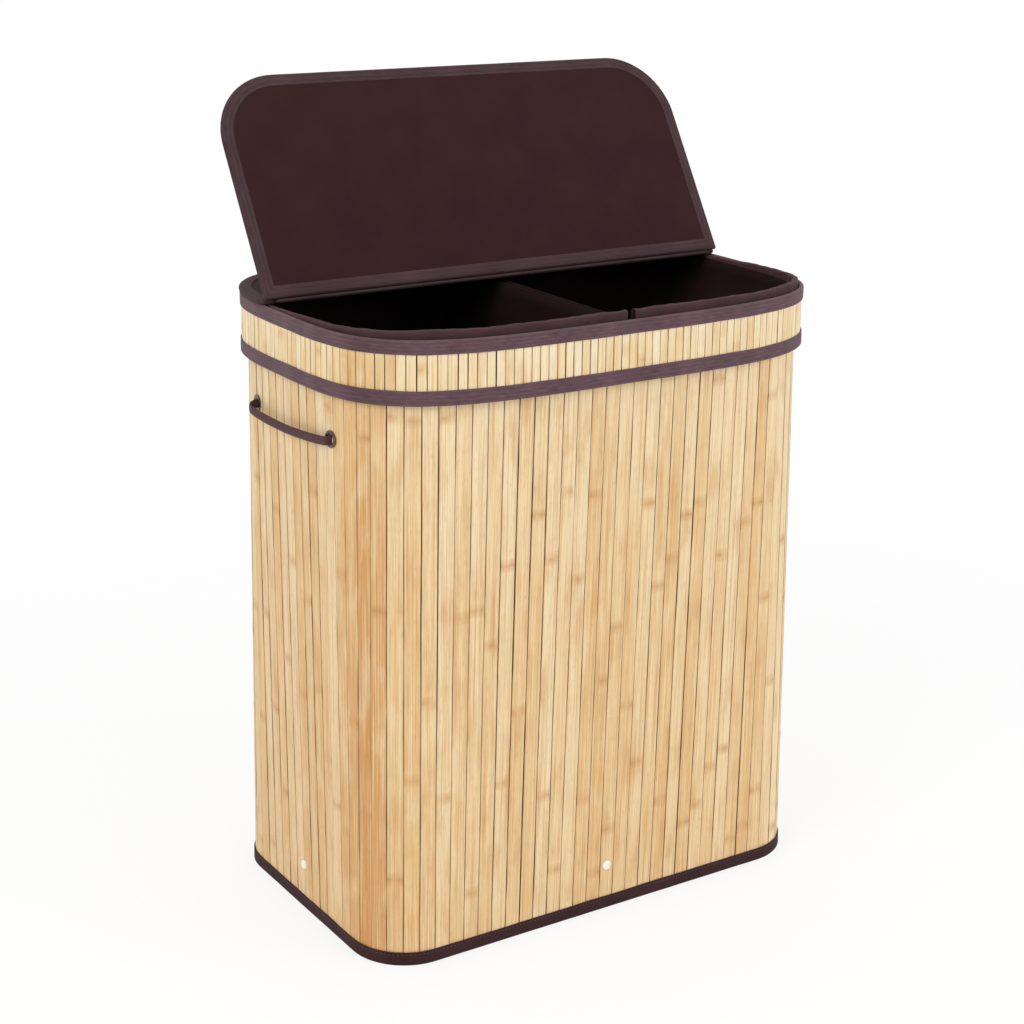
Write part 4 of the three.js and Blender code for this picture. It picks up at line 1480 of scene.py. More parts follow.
@dataclass(frozen=True)
class Bag:
    """A liner: an open cloth bag that hangs in one half of the tube."""

    cloth: float = 0.0010
    floor: float = 0.0078
    floor_edge: float = 0.0208
    flare: float = 0.5544
    mouth: float = 0.5959
    top: float = 0.6170
    floor_inset: float = 0.0360
    inset: float = 0.0255
    mouth_inset: float = 0.0047
    divider: float = 0.0036
    corner: float = 0.014
    middle: float = 0.135  # the place along X that the folds point to
    floor_rise: float = 0.0004  # the floor's middle above its edge
    heel: Point = (0.0035, 0.0062)  # how far the floor's edge rises and reaches out
    drape: float = 0.09  # how far below the mouth the folds are full
    folds: int = 9
    fold_depth: float = 0.0075
    columns: int = 220
    rows: int = 64

    @lru_cache(maxsize=None)
    def outline(self, z: float, inset: float) -> PlanLine:
        """Returns the bag's outline, from the front's inner corner round the wall.

        Args:
            z: its height.
            inset: how far inside the slats' face it runs.

        Returns:
            The outline of the right bag.
        """
        start = self.divider + self.corner
        wall = [BODY.point(k / 720, z, -inset) for k in range(361)]
        wall = [(p.x, p.y) for p in wall if p.x > start]
        front, back = wall[0][1], wall[-1][1]
        rear = arc((start, back - self.corner), self.corner, 90, 180, 8)
        fore = arc((start, front + self.corner), self.corner, 180, 270, 8)
        return PlanLine([*wall, *rear, *fore])

    def levels(self) -> tuple[list[float], list[Triple]]:
        """Lists the levels of the bag's cloth.

        Returns:
            Each level's distance up the cloth, and each one's share of the outline, height and inset.
        """
        rise, reach = self.heel
        levels = [
            (0.0, self.floor + self.floor_rise, self.floor_inset),
            (1.0, self.floor, self.floor_inset),
            (1.0, self.floor + rise, self.floor_inset - reach),
            (1.0, self.floor_edge, self.inset),
            (1.0, self.flare, self.inset),
            (1.0, self.mouth, self.mouth_inset),
            (1.0, self.top, self.mouth_inset),
        ]
        half = self.outline(self.floor, self.floor_inset).length / 8
        gone = [0.0]
        for (s0, z0, i0), (s1, z1, i1) in zip(levels, levels[1:]):
            gone.append(gone[-1] + math.hypot((s1 - s0) * half, z1 - z0, i1 - i0))
        return gone, levels

    def mesh(self) -> BMesh:
        """Makes the right bag's outer face.

        Returns:
            The bag.
        """
        gone, levels = self.levels()
        columns = list(zip(*levels))
        middle = Vector((self.middle, 0.0, 0.0))

        def place(along: float, across: float) -> Vector:
            """Lays a point of the bag.

            Args:
                along: its share round the bag.
                across: its share up the cloth.

            Returns:
                The point.
            """
            share, z, inset = (float(np.interp(across * gone[-1], gone, column)) for column in columns)
            point = self.outline(round(z, 6), round(inset, 6)).at(along)
            loose = min(1.0, max(0.0, (self.mouth - z) / self.drape))
            wander = 1.5 * noise.noise(Vector((4 * along, 5 * z, 3.0)))
            fold = 0.5 - 0.5 * math.cos(2 * math.pi * (self.folds * along + wander))
            depth = self.fold_depth * (0.6 + 0.4 * noise.noise(Vector((9 * along, 3 * z, 8.0))))
            depth *= loose * fold
            inward = (middle - point).normalized()
            flat = middle.lerp(point + inward * depth * share, share)
            return Vector((flat.x, flat.y, z))

        perimeter = self.outline(self.flare, self.inset).length
        return grid_over(place, self.columns, self.rows, (perimeter, gone[-1]))

    def dress(self) -> None:
        for side in Side:
            mesh = self.mesh()
            area = sum(face.calc_area() for face in mesh.faces)
            if side is Side.LEFT:
                mirrored(mesh)
            word = side.name.lower()
            node = f"liner_{word}"
            made = piece(f"bag_{word}", mesh, LINER, Slot.LINER, Body.HAMPER, [node], cloth=self.cloth)
            girth = round(self.outline(self.mouth, self.mouth_inset).length, 3)
            height = round(self.levels()[0][-1], 3)


@dataclass(frozen=True)
class Cuff:
    """The bound mouth of a liner, folded over the rim round its wire."""

    face: float = 0.0018
    back: float = -0.0044
    spring: float = 0.61735  # where the round top begins
    crown: float = 0.6200
    outer_low: float = 0.5954
    inner_low: float = 0.5904
    end: float = 0.0046  # from the front and back middles
    cloth: float = 0.0006
    loft: float = 0.0085
    hinge: float = 0.038
    bulge: float = 0.0012
    pucker: float = 0.0012
    press: Point = (0.1, 1.4)  # the deepest dent on the rim's tape, in puckers, and what the loft adds to it
    sway: Point = (0.0012, 0.0006)  # how far the top rises and falls, in long waves and in short ones
    seam: float = 0.6135  # height of the stitches
    seam_raise: float = 0.0001
    columns: int = 260

    @property
    def start(self) -> float:
        """Where the cuff starts, as a share of the wall."""
        return self.end / BODY.length

    @property
    def span(self) -> float:
        """The cuff's share of the wall."""
        return 0.5 - 2 * self.start

    def reach(self, y: float) -> float:
        """Returns how much the cuff stands loose at a place along Y: 0 behind the hinge, 1 at the front."""
        return max(0.0, self.hinge - y) / (self.hinge + BODY.rim_depth / 2)

    def skin(self, depth: float) -> list[Triple]:
        """Returns one side of the cloth.

        Args:
            depth: how far it lies below the cloth's outside.

        Returns:
            Its rows as a distance out, a height and a share of the loft.
        """
        out, inn = self.face - depth, self.back + depth
        middle, half = (out + inn) / 2, (out - inn) / 2
        rows = []
        for k in range(9):
            share = k / 8
            rows.append((out, self.outer_low + (self.spring - self.outer_low) * share, share**2))
        for k in range(1, 9):
            angle = math.pi * k / 8
            rise = (self.crown - depth - self.spring) * math.sin(angle)
            rows.append((middle + half * math.cos(angle), self.spring + rise, 1.0))
        for k in range(1, 7):
            share = 1 - k / 6
            rows.append((inn, self.inner_low + (self.spring - self.inner_low) * share, share**2))
        return rows

    def mesh(self) -> BMesh:
        """Makes the right cuff.

        Returns:
            The cuff.
        """
        loop = [*self.skin(0.0), *reversed(self.skin(self.cloth))]

        def place(along: float, across: float) -> Vector:
            """Lays a point of the cuff.

            Args:
                along: its share of the cuff's length.
                across: its share round the section.

            Returns:
                The point.
            """
            out, height, loft = nearest(loop, across)
            share = self.start + self.span * along
            base = BODY.point(share, min(height, BODY.top), out)
            reach = self.reach(base.y)
            away = BODY.normal(share, BODY.top)
            crease = noise.noise(Vector((base.x * 110, base.y * 110, height * 12))) - 0.5
            if out > 0.0:
                crease = max(crease, -self.press[0] - self.press[1] * loft**2)
            crease *= self.pucker * (0.3 + 0.7 * reach)
            base += away * (crease + self.bulge * reach * loft * (out > 0.0))
            long, short = self.sway
            sway = ripple(base, 28.0, long * reach, 2.0) + ripple(base, 90.0, short, 6.0)
            base.z = height + self.loft * reach * loft + loft * sway
            return base

        size = (BODY.length * self.span, 2 * (self.crown - self.outer_low))
        return grid_over(place, self.columns, len(loop), size, capped=True)

    def stitches(self) -> BMesh:
        """Sews the row below the cuff's round top.

        Returns:
            The stitches.
        """
        part = ((self.seam - self.outer_low) / (self.spring - self.outer_low)) ** 2

        def line(along: float) -> tuple[Vector, Vector]:
            """Finds a stitch's place.

            Args:
                along: its share of the cuff's length.

            Returns:
                The point and the direction out.
            """
            share = self.start + self.span * along
            point = BODY.point(share, BODY.top, self.face)
            reach = self.reach(point.y)
            point.z = self.seam + self.loft * reach * part
            away = BODY.normal(share, BODY.top)
            return point + away * (self.bulge * reach * part + self.seam_raise), away

        return STITCHES.row(line, BODY.length * self.span)

    def dress(self) -> None:
        """Makes both cuffs."""
        for side in Side:
            name = side.name.lower()
            meshes = [self.mesh(), self.stitches()]
            if side is Side.LEFT:
                meshes = [mirrored(mesh) for mesh in meshes]
            piece(f"cuff_{name}", meshes[0], CUFF, Slot.LINER, Body.HAMPER, [f"liner_cuff_{name}"])
            piece(f"cuff_{name}_stitches", meshes[1], THREAD, Slot.LINER, Body.HAMPER)


@dataclass(frozen=True)
class Sleeve:
    """The cloth sewn round the divider's rod, with the top of the divider below it."""

    rod_height: float = 0.6106
    half: float = 0.0033
    seam_drop: float = 0.0060
    seam_half: float = 0.0018
    skirt_half: float = 0.0030
    low: float = 0.5866
    end: float = 0.1744
    sag: float = 0.0006
    above_seam: Point = (0.0004, 0.0012)  # how far the cloth stands out just above its seam, and how high
    below_seam: Point = (0.0003, 0.0015)  # the same just below it
    shoulder: float = 0.0003
    stiff: float = 0.02  # how far below the rod the cloth hangs fully loose
    waver: float = 0.0012
    cloth: float = 0.0008
    columns: int = 90

    def section(self) -> list[Point]:
        """Draws the cloth's outer face from one skirt over the rod to the other.

        Returns:
            Its points across the rod and above its middle.
        """
        skirt = self.low - self.rod_height
        drop = [
            (self.skirt_half, skirt),
            ((self.skirt_half + self.seam_half) / 2, skirt * 0.6),
            (self.seam_half + self.below_seam[0], -self.seam_drop - self.below_seam[1]),
            (self.seam_half, -self.seam_drop),
            (self.seam_half + self.above_seam[0], -self.seam_drop + self.above_seam[1]),
            (self.half - self.shoulder, -self.seam_drop / 3),
        ]
        over = arc((0.0, 0.0), self.half, 0, 180, 10)
        return [*drop, *over, *[(-x, z) for x, z in reversed(drop)]]

    def dress(self) -> None:
        section = self.section()
        reach = round(length_of(section), 4)
        last = len(section) - 1

        def place(along: float, across: float) -> Vector:
            """Lays a point of the sleeve.

            Args:
                along: its share of the rod's length.
                across: its share over the rod.

            Returns:
                The point.
            """
            x, z = section[round(across * last)]
            point = self.at(along, x, z)
            loose = min(1.0, max(0.0, -z / self.stiff))
            return point + Vector((ripple(point, 25.0, self.waver * loose, 4.0), 0.0, 0.0))

        mesh = grid_over(place, self.columns, last, (2 * self.end, length_of(section)))
        node = "divider_sleeve"
        made = piece("divider_cloth", mesh, LINER, Slot.LINER, Body.HAMPER, [node], cloth=self.cloth)
        seams = gather(STITCHES.row(partial(self.seam, side.value), 2 * self.end) for side in Side)
        piece("divider_stitches", seams, THREAD, Slot.LINER, Body.HAMPER)

    def at(self, along: float, x: float, z: float) -> Vector:
        """Returns a point of the sleeve, which sags with its rod.

        Args:
            along: its share of the rod's length.
            x: its distance from the rod's middle.
            z: its height over the rod's middle.

        Returns:
            The point.
        """
        y = self.end * (2 * along - 1)
        return Vector((x, y, self.rod_height + z - self.sag * (1 - (y / self.end) ** 2)))

    def seam(self, side: int, share: float) -> tuple[Vector, Vector]:
        """Returns the point and the direction out at a share of the seam on one side."""
        return self.at(share, side * self.seam_half, -self.seam_drop), Vector((side, 0.0, 0.0))


# Lid boards, their cloth and the hinge


def divided(points: Sequence[Point], step: float = 0.006) -> list[Point]:
    """Divides the long sides of a closed outline.

    Args:
        points: its corners.
        step: the greatest length of a side.

    Returns:
        The corners and the points between them.
    """
    result = []
    for a, b in zip(points, [*points[1:], points[0]]):
        count = max(1, math.ceil(math.dist(a, b) / step))
        result += [(a[0] + (b[0] - a[0]) * k / count, a[1] + (b[1] - a[1]) * k / count) for k in range(count)]
    return result


@dataclass(frozen=True)
class Panel:
    """A cloth-covered board: its outline, counter-clockwise, and its heights."""

    name: str
    body: Body
    outline: tuple[Point, ...]
    low: float
    straight: float  # the hinge side's place along Y
    inward: int  # 1 where the board lies behind its hinge side, -1 where it lies before it
    turn: Matrix = field(default_factory=Matrix)
    height: float = 0.0052
    edge: float = 0.0009
    tape_width: float = 0.0120
    tape: float = 0.0006
    board: float = 0.0020
    cloth: float = 0.0004
    gap: float = 0.0003
    nose: float = 0.0017
    puff: float = 0.00035
    rib: float = 0.00022
    rib_pitch: float = 0.0036
    seam: float = 0.0022
    seam_half: float = 0.001
    tip_half: float = 0.0006
    stitch_rise: float = 0.0001
    grain: float = 0.008
    unevenness: float = 0.00018
    crumple: float = 0.00006
    tape_rows: int = 12

    def edge_points(self) -> tuple[np.ndarray, np.ndarray]:
        """Walks round the outline.

        Returns:
            Its points and the directions out of it there.
        """
        points = np.array(divided(self.outline))
        way = np.roll(points, -1, axis=0) - np.roll(points, 1, axis=0)
        away = np.column_stack([way[:, 1], -way[:, 0]])
        return points, away / np.hypot(*away.T)[:, None]

    def offset(self, point: np.ndarray, away: np.ndarray, out: float) -> Point:
        """Moves a point out of the outline, but keeps it off the hinge side and the flanks.

        Args:
            point: the point on the outline.
            away: the direction out of it there.
            out: the distance, negative to the inside.

        Returns:
            The moved point.
        """
        x, y = point + away * out
        if out < 0:
            widest = max(abs(px) for px, _ in self.outline) + out
            x = min(max(x, -widest), widest)
            limit = self.straight - self.inward * out
            y = max(y, limit) if self.inward > 0 else min(y, limit)
        return float(x), float(y)

    def swell(self, gone: float) -> float:
        """Returns how far the binding's face swells at a distance from its tip."""
        flat = 1 - bump_at(gone, 0.0, self.tip_half)
        puff = self.puff * flat * (1 - bump_at(gone, self.seam, self.seam_half))
        return puff + self.rib * math.sin(2 * math.pi * gone / self.rib_pitch) ** 2 * (gone > self.seam)

    def skin(self, depth: float) -> list[Point]:
        """Returns one side of the binding from tip to tip.

        Args:
            depth: how far it lies below the binding's outside.

        Returns:
            Its points as a distance out of the outline and a height over the board's middle.
        """
        face = self.height / 2 - depth - self.puff
        inner = self.gap - self.tape_width
        top = []
        for k in range(self.tape_rows + 1):
            gone = (self.tape_width - self.nose) * k / self.tape_rows
            top.append((inner + gone, face + (0.0 if depth else self.swell(gone))))
        nose = []
        for k in range(1, 8):
            angle = math.pi / 2 * (1 - k / 4)
            out = self.edge - self.nose + (self.nose - depth) * math.cos(angle)
            nose.append((out, face * math.sin(angle)))
        return [*top, *nose, *[(out, -z) for out, z in reversed(top)]]

    def binding(self) -> BMesh:
        """Folds the tape over the board's edge.

        Returns:
            The tape.
        """
        points, away = self.edge_points()
        middle = self.low + self.height / 2
        loop = [*self.skin(0.0), *reversed(self.skin(self.tape))]
        count = len(points)

        def place(along: float, across: float) -> Vector:
            """Lays a point of the tape.

            Args:
                along: its share round the board.
                across: its share round the section.

            Returns:
                The point.
            """
            k = round(along * count) % count
            out, z = nearest(loop, across)
            point = Vector((*self.offset(points[k], away[k], out), middle + z))
            point.z += ripple(point, 40.0, self.unevenness)
            return point

        length = PlanLine([tuple(point) for point in points]).length
        mesh = grid_over(place, count, len(loop), (length, 2 * self.tape_width))
        bmesh.ops.transform(mesh, matrix=self.turn, verts=mesh.verts)
        return mesh

    def stitches(self, upper: bool) -> BMesh:
        """Sews the row along the tape's inner edge.

        Args:
            upper: whether it runs on the upper face.

        Returns:
            The stitches.
        """
        out = self.gap - self.tape_width + self.seam
        rise = self.puff + self.stitch_rise
        level = self.low + (self.height - rise if upper else rise)
        plan = PlanLine([self.offset(point, away, out) for point, away in zip(*self.edge_points())])

        def line(share: float) -> tuple[Vector, Vector]:
            """Returns the point and the direction out at a share of the row."""
            spot = plan.at(share)
            return Vector((spot.x, spot.y, level)), UP if upper else -UP

        mesh = STITCHES.row(line, plan.length)
        bmesh.ops.transform(mesh, matrix=self.turn, verts=mesh.verts)
        return mesh

    def face_cloth(self, upper: bool) -> BMesh:
        """Returns the cloth on one face.

        Args:
            upper: whether it is the upper face.

        Returns:
            The cloth, cut to the outline, its outside facing away from the board.
        """
        board_low = self.low + self.edge + self.cloth + self.gap
        level = board_low + self.board + self.gap + self.cloth if upper else self.low + self.edge
        xs, ys = zip(*self.outline)
        width, depth = max(xs) - min(xs), max(ys) - min(ys)
        centre = Vector(((max(xs) + min(xs)) / 2, (max(ys) + min(ys)) / 2, level))
        columns, rows = math.ceil(width / self.grain), math.ceil(depth / self.grain)

        def place(along: float, across: float) -> Vector:
            """Returns the point at a share of the width and a share of the depth."""
            return centre + Vector(((along - 0.5) * width, (across - 0.5) * depth, 0.0))

        mesh = grid_over(place, columns, rows, (width, depth))
        for a, b in zip(self.outline, [*self.outline[1:], self.outline[0]]):
            side = Vector((b[1] - a[1], a[0] - b[0], 0.0))
            geometry = [*mesh.verts, *mesh.edges, *mesh.faces]
            bmesh.ops.bisect_plane(
                mesh, geom=geometry, plane_co=(*a, level), plane_no=side, dist=MERGED, clear_outer=True
            )
        for vert in mesh.verts:
            vert.co.z += ripple(vert.co, 16.0, self.unevenness, 9.0) + ripple(vert.co, 60.0, self.crumple)
        if not upper:
            bmesh.ops.reverse_faces(mesh, faces=mesh.faces)
        bmesh.ops.transform(mesh, matrix=self.turn, verts=mesh.verts)
        return mesh

    def dress(self) -> None:
        """Makes the board's cloth and binding."""
        xs, ys = zip(*self.outline)
        flat = (round(max(xs) - min(xs), 4), round(max(ys) - min(ys), 4))
        for upper, word in ((True, "cover"), (False, "lining")):
            mesh = self.face_cloth(upper)
            area = round(min(sum(face.calc_area() for face in mesh.faces), flat[0] * flat[1]), 4)
            node = f"{self.name}_{word}"
            cloth = piece(f"{node}_cloth", mesh, LID_CLOTH, Slot.LID, self.body, [node], cloth=self.cloth)
        node = f"{self.name}_binding"
        piece(f"{node}_tape", self.binding(), FLAP_TAPE, Slot.BINDING, self.body, [node])
        rows = gather([self.stitches(True), self.stitches(False)])
        piece(f"{node}_stitches", rows, THREAD, Slot.BINDING, self.body)


@dataclass(frozen=True)
class Lid:
    """Sizes that the rear board, the flap and the hinge share."""

    hinge_y: float = 0.038
    hinge_z: float = 0.6239
    opening: float = 121.5
    under: float = 0.6203
    half_width: float = 0.2721
    rear_gap: float = 0.0042  # from the hinge to the rear board's outline
    flap_gap: float = 0.0028  # from the hinge to the flap's outline
    overhang: float = 0.0012
    front: float = -0.2351
    corner: float = 0.070
    hinge_corner: float = 0.0012
    fold: float = 0.0016
    tuck: Point = (0.0012, -0.0009)  # from the hinge to the middle of the fold's rear edge
    fold_half: float = 0.2601
    board_height: float = 0.0052
    crease: Point = (0.0062, 0.0056)  # from the hinge to the cloth's bend, on the rear board and on the flap
    strip: float = 0.0135
    strip_cloth: float = 0.0006
    strip_gap: float = 0.0001
    rear_reach: float = 0.006  # how far behind its straight side the rear board follows the collar
    roll_tip: float = 0.65  # how far the fold is pinched at its ends
    hanging_width: float = 0.236
    hanging_low: float = 0.607
    hanging_out: float = 0.0020
    hanging_cloth: float = 0.0007

    def rear_outline(self) -> tuple[Point, ...]:
        """Draws the rear board's outline, which follows the collar round the back.

        Returns:
            Its corners.
        """
        straight = self.hinge_y + self.rear_gap
        r = self.hinge_corner
        right = arc((self.half_width - r, straight + r), r, -90, 0, 6)
        left = arc((-self.half_width + r, straight + r), r, 180, 270, 6)
        curve = [COLLAR.point(k / 480, COLLAR.high, self.overhang) for k in range(481)]
        curve = [(p.x, p.y) for p in curve if p.y > straight + self.rear_reach]
        return (*right, *curve, *left)

    def flap_outline(self) -> tuple[Point, ...]:
        """Draws the flap's outline, lying shut with the hinge at the origin.

        Returns:
            Its corners.
        """
        r, x, y = self.corner, self.half_width - self.corner, self.front + self.corner
        h = self.hinge_corner
        return (
            *arc((self.half_width - h, -self.flap_gap - h), h, 0, 90, 6),
            *arc((-self.half_width + h, -self.flap_gap - h), h, 90, 180, 6),
            *arc((-x, y), r, 180, 270, 24),
            *arc((x, y), r, 270, 360, 24),
        )

    def open_turn(self) -> Matrix:
        """Returns the turn that opens the flap."""
        shift = Matrix.Translation((0.0, self.hinge_y, self.hinge_z))
        return shift @ Matrix.Rotation(math.radians(-self.opening), 4, "X")

    def hinge_line(self) -> list[Point]:
        """Draws the hinge cloth's section, from the rear board's top up the flap's outer face.

        Returns:
            Its points along Y and Z.
        """
        turn = self.open_turn()
        face = self.under + self.board_height + self.strip_cloth + self.strip_gap
        rear, flap = self.crease
        flat = [(self.hinge_y + self.strip + (rear - self.strip) * k / 5, face) for k in range(6)]
        rise = []
        for k in range(6):
            point = turn @ Vector((0.0, -(flap + (self.strip - flap) * k / 5), face - self.hinge_z))
            rise.append((point.y, point.z))
        (y0, z0), (y1, z1) = flat[-1], rise[0]
        bend = y1 - (z1 - z0) * (rise[-1][0] - y1) / (rise[-1][1] - z1)
        curve = []
        for k in range(1, 8):
            t = k / 8
            a, b, c = (1 - t) ** 2, 2 * t * (1 - t), t**2
            curve.append((a * y0 + b * bend + c * y1, a * z0 + b * z0 + c * z1))
        return [*flat, *curve, *rise]

    def hinge_cloth(self) -> None:
        """Makes the strip of cloth that bends between the two boards."""
        line = self.hinge_line()
        last = len(line) - 1
        reach = length_of(line)
        width = 2 * self.fold_half

        def place(along: float, across: float) -> Vector:
            """Returns the point at a share of the hinge's length and a share across the cloth."""
            return Vector((self.fold_half * (1 - 2 * along), *line[round(across * last)]))

        mesh = grid_over(place, 120, last, (width, reach))
        strip = piece("hinge_cloth", mesh, LID_CLOTH, Slot.BINDING, None, (), cloth=self.strip_cloth)
        face = self.under + self.board_height
        before = (0.0, self.hinge_y + self.crease[0], face)
        after = self.open_turn() @ Vector((0.0, -self.crease[1], face - self.hinge_z))
        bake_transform(strip, Body.LID.value, Body.FLAP.value, start=before, end=tuple(after))

    def hinge_roll(self) -> None:
        """Makes the fold of cloth on the hinge's axis."""
        slant = math.degrees(math.atan2(self.tuck[1], self.tuck[0]))
        front = arc((0.0, 0.0), self.fold, slant + 90, slant + 270, 8)
        rear = arc(self.tuck, self.fold, slant + 270, slant + 450, 8)
        loop = [*rear, *front][::-1]

        def place(along: float, across: float) -> Vector:
            """Lays a point of the fold.

            Args:
                along: its share of the hinge's length.
                across: its share round the fold.

            Returns:
                The point.
            """
            y, z = nearest(loop, across)
            x = self.fold_half * (1 - 2 * along)
            scale = 0.95 + 0.05 * noise.noise(Vector((x * 60, 0.0, 0.0)))
            if along in (0.0, 1.0):
                scale = self.roll_tip
            return Vector((x, self.hinge_y + scale * y, self.hinge_z + scale * z))

        mesh = grid_over(place, 260, len(loop), (2 * self.fold_half, 0.01), capped=True)
        piece("hinge_roll", mesh, FLAP_TAPE, Slot.BINDING, Body.LID, ["hinge_fold"])

    def seam_cloth(self) -> None:
        """Makes the strip that hangs the rear board on the collar's back."""
        half = self.hanging_width / 2 / COLLAR.length
        low, tall = self.hanging_low, COLLAR.high - self.hanging_low

        def place(along: float, across: float) -> Vector:
            """Returns the point at a share of the strip's width and a share of its height."""
            point = COLLAR.point(0.5 + half * (2 * along - 1), low + tall * across, self.hanging_out)
            return point + COLLAR.normal(0.5, low) * ripple(point, 45.0, 0.0002)

        mesh = grid_over(place, 120, 8, (self.hanging_width, tall))
        node = "rear_seam_cloth"
        strip = piece("rear_hanging_cloth", mesh, BINDING, Slot.BINDING, Body.LID, [node], self.hanging_cloth)

    def dress(self) -> None:
        """Makes the rear board's and the flap's cloth, and the hinge."""
        rear, flap = self.rear_outline(), self.flap_outline()
        low, turn = self.under - self.hinge_z, self.open_turn()
        Panel("rear", Body.LID, rear, self.under, self.hinge_y + self.rear_gap, 1).dress()
        Panel("flap", Body.FLAP, flap, low, -self.flap_gap, -1, turn).dress()
        self.hinge_cloth()
        self.hinge_roll()
        self.seam_cloth()


# Studio and camera


@dataclass(frozen=True)
class Lamp:
    """A soft area lamp that faces the hamper."""

    name: str
    place: Triple
    size: float
    power: float

    def add(self, towards: Vector) -> None:
        """Adds the lamp.

        Args:
            towards: the point that it faces.
        """
        data = bpy.data.lights.new(self.name, "AREA")
        data.energy = self.power
        data.size = self.size
        lamp = bpy.data.objects.new(self.name, data)
        lamp.location = self.place
        lamp.rotation_mode = "QUATERNION"
        lamp.rotation_quaternion = (towards - Vector(self.place)).to_track_quat("-Z", "Y")
        bpy.context.scene.collection.objects.link(lamp)


@dataclass(frozen=True)
class Studio:
    """A pale floor, soft lamps and a white surround."""

    floor_half: float = 6.0
    floor_grey: str = "f7f7f7"
    roughness: Point = (0.86, 0.92)
    gloss: float = 0.1
    ambient: float = 0.6
    glow: float = 0.8  # how far the floor is plain white to the camera beside the hamper
    glow_reach: Point = (0.5, 1.7)  # distances from the middle between which it turns to plain white
    aim: Triple = (0.0, 0.0, 0.4)
    lamps: tuple[Lamp, ...] = (
        Lamp("key lamp", (-2.7, -1.0, 2.4), 1.6, 40.0),
        Lamp("fill lamp", (2.1, -2.6, 1.9), 2.0, 40.0),
        Lamp("top lamp", (0.0, 0.4, 3.2), 2.4, 23.0),
    )

    def floor(self) -> None:
        """Lays the floor."""
        mesh = bmesh.new()
        bmesh.ops.create_grid(mesh, x_segments=4, y_segments=4, size=self.floor_half)
        data = bpy.data.meshes.new("studio_floor")
        mesh.to_mesh(data)
        mesh.free()
        floor = bpy.data.objects.new("studio_floor", data)
        bpy.context.scene.collection.objects.link(floor)
        material = bpy.data.materials.new("studio paper")
        material.use_nodes = True
        graph = Graph(material.node_tree)
        shader = material.node_tree.nodes["Principled BSDF"]
        place = graph.add("TexCoord").outputs["Object"]
        rough = graph.ramp(graph.noise(place, 400.0, 2.0), 0.3, 0.7, self.roughness)
        grey = colour(self.floor_grey)
        graph.fill(shader, {"Roughness": rough, "Base Color": grey, "Specular IOR Level": self.gloss})
        away = graph.add("VectorMath", {0: place}, operation="LENGTH").outputs["Value"]
        share = graph.ramp(away, *self.glow_reach, (self.glow, 1.0))
        plain = graph.add("Emission", {"Color": WHITE, "Strength": 1.0})
        share = graph.maths("MULTIPLY", self.seen(graph), share)
        mixed = graph.add("MixShader", {0: share, 1: shader.outputs[0], 2: plain.outputs[0]})
        graph.fill(graph.tree.nodes["Material Output"], {"Surface": mixed.outputs[0]})
        data.materials.append(material)

    @staticmethod
    def seen(graph: Graph) -> Socket:
        """Returns 1 for rays from the camera, from reflections and through glass, and 0 for light."""
        rays = graph.add("LightPath").outputs
        either = graph.maths("MAXIMUM", rays["Is Camera Ray"], rays["Is Glossy Ray"])
        return graph.maths("MAXIMUM", either, rays["Is Transmission Ray"])

    def surround(self) -> None:
        """Makes the world white to the camera, to reflections and through glass, and dimmer as a light."""
        world = bpy.data.worlds.new("studio surround")
        world.use_nodes = True
        bpy.context.scene.world = world
        graph = Graph(world.node_tree)
        strength = graph.add("MapRange", {"Value": self.seen(graph), "To Min": self.ambient, "To Max": 1.0})
        graph.fill(world.node_tree.nodes["Background"], {"Color": WHITE, "Strength": strength.outputs[0]})

    def build(self) -> None:
        """Makes the studio."""
        self.floor()
        self.surround()
        for lamp in self.lamps:
            lamp.add(Vector(self.aim))
        bpy.context.scene.view_settings.view_transform = "Standard"


@dataclass(frozen=True)
class Viewpoint:
    """The camera, turned round a point of the hamper."""

    target: Triple = (0.0, -0.0081, 0.5147)
    distance: float = 2.1243
    azimuth: float = -33.36
    elevation: float = 14.33
    roll: float = 0.73
    lens: float = 73.21
    sensor: float = 36.0
    shift: Point = (-0.01644, -0.12132)

    def build(self) -> None:
        """Makes the camera."""
        data = bpy.data.cameras.new("camera")
        data.lens = self.lens
        data.sensor_width = self.sensor
        data.shift_x, data.shift_y = self.shift
        camera = bpy.data.objects.new("camera", data)
        bpy.context.scene.collection.objects.link(camera)
        bpy.context.scene.camera = camera
        a, e = math.radians(self.azimuth), math.radians(self.elevation)
        back = Vector((math.sin(a) * math.cos(e), -math.cos(a) * math.cos(e), math.sin(e)))
        camera.location = Vector(self.target) + back * self.distance
        camera.rotation_mode = "QUATERNION"
        aim = (-back).to_track_quat("-Z", "Y")
        roll = Matrix.Rotation(math.radians(self.roll), 3, "Z").to_quaternion()
        camera.rotation_quaternion = aim @ roll


BODY = BodyWall()
COLLAR = CollarWall(BODY)

CAD_FINISHES: dict[str, Finish] = {
    "wall_backing": BACKING,
    "wall_seam_tape": TAPE_INSIDE,
    "base_board": BOARD,
    "base_tab": BOARD,
    "rivet_lock": PLASTIC,
    "liner_frame": STEEL,
    "divider_rod": STEEL,
    "collar_backing": BACKING,
    "rear_board": BOARD,
    "flap_board": BOARD,
}


def finish_frame_nodes(frame: dict) -> None:
    """Gives the frame's kept nodes their finishes.

    Args:
        frame: the loaded frame.
    """
    for name, node in frame["nodes"].items():
        for start, finish in CAD_FINISHES.items():
            if name.startswith(start):
                node.data.materials.clear()
                node.data.materials.append(finish.material())
                log.info("%s: %s", name, finish.name)


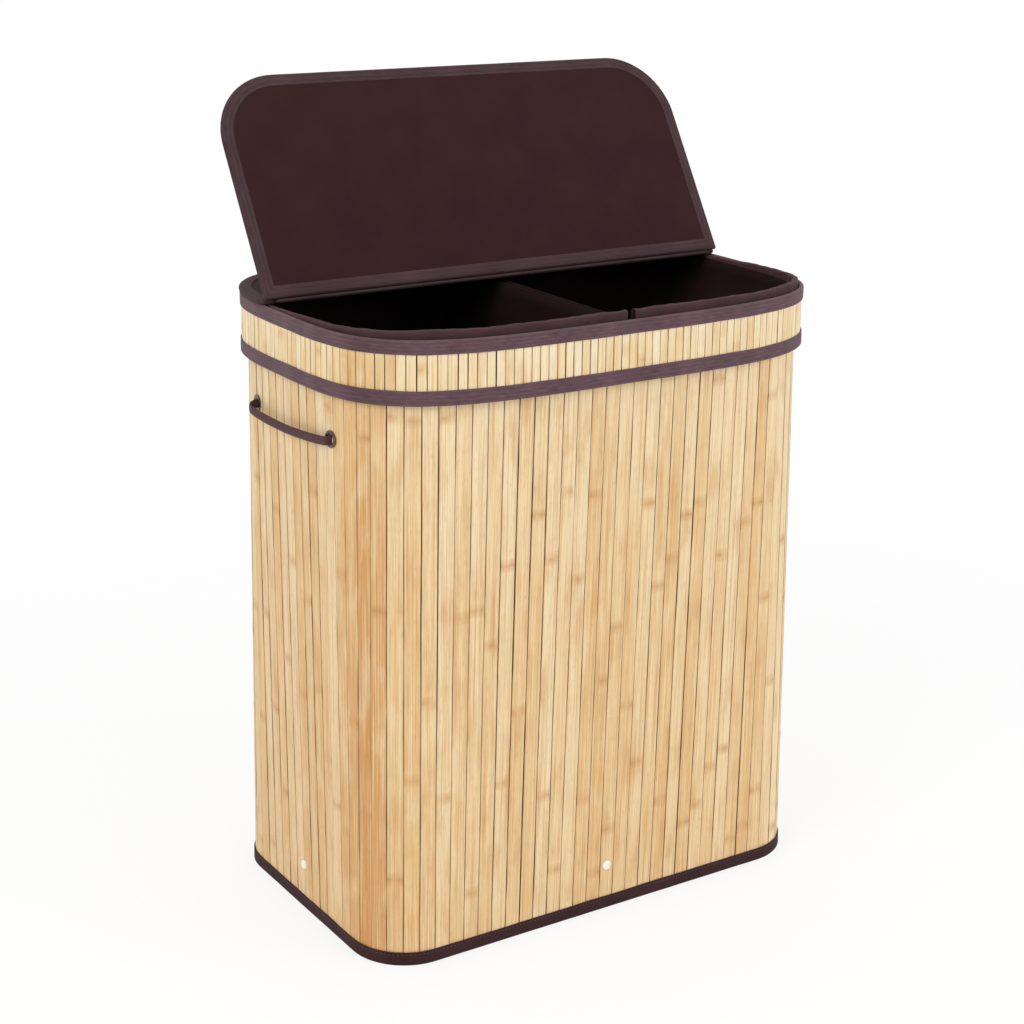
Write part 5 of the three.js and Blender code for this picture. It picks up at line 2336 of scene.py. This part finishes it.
def dress_walls() -> None:
    """Makes the slats of the body and the collar and the tapes over their edges."""
    cover = 0.0009  # from a binding's fold to the ends of the slats
    body = SlatSheet(BODY, cover, BODY.top, thickness=0.0017, node_span=(0.20, 0.46), cuts=15, seed=SEED)
    body.dress("body_slats", SLATS, Slot.BAMBOO, Body.HAMPER, ["wall_slats"])
    low, high = COLLAR.low + cover, COLLAR.high - cover
    collar = SlatSheet(COLLAR, low, high, thickness=0.0016, node_span=(0.16, 0.40), cuts=2, seed=SEED + 1)
    collar.dress("lid_slats", COLLAR_SLATS, Slot.PALE_BAMBOO, Body.LID, ["collar_slats"])
    foot = TapeSection(face=0.0009, back=-0.0035, width=0.0140)
    rim = TapeSection(face=0.0008, back=-0.0035, width=0.0139, puff=0.0002)
    lower = TapeSection(face=0.0009, back=-0.0034, width=0.0145)
    upper = TapeSection(face=0.0009, back=-0.0034, width=0.0130)
    WallTape(BODY, foot, 0.0, 1, finish=FOOT_TAPE).dress("foot", Body.HAMPER)
    WallTape(BODY, rim, BODY.top + cover, -1).dress("rim", Body.HAMPER)
    WallTape(COLLAR, lower, COLLAR.low, 1).dress("collar_lower", Body.LID)
    WallTape(COLLAR, upper, COLLAR.high, -1).dress("collar_upper", Body.LID)


def dress_hardware() -> None:
    """Makes the rivets, eyelets and straps."""
    for k, word in enumerate(("front", "right", "back", "left")):
        Rivet(f"base_rivet_{word}", k / 4).dress()
    for side in Side:
        strap = Strap(side)
        for end, away in (("front", -side.value), ("rear", side.value)):
            Eyelet(f"eyelet_{side.name.lower()}_{end}", strap.share + away * strap.half_span).dress()
    for side in Side:
        Strap(side).dress()


def main() -> None:
    """Builds the scene on the frame."""
    logging.basicConfig(level=logging.INFO, format="%(message)s")
    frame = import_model()
    Viewpoint().build()
    finish_frame_nodes(frame)
    dress_walls()
    dress_hardware()
    Bag().dress()
    Cuff().dress()
    Sleeve().dress()
    Lid().dress()
    Studio().build()
    bpy.context.view_layer.update()


if __name__ == "__main__":
    main()
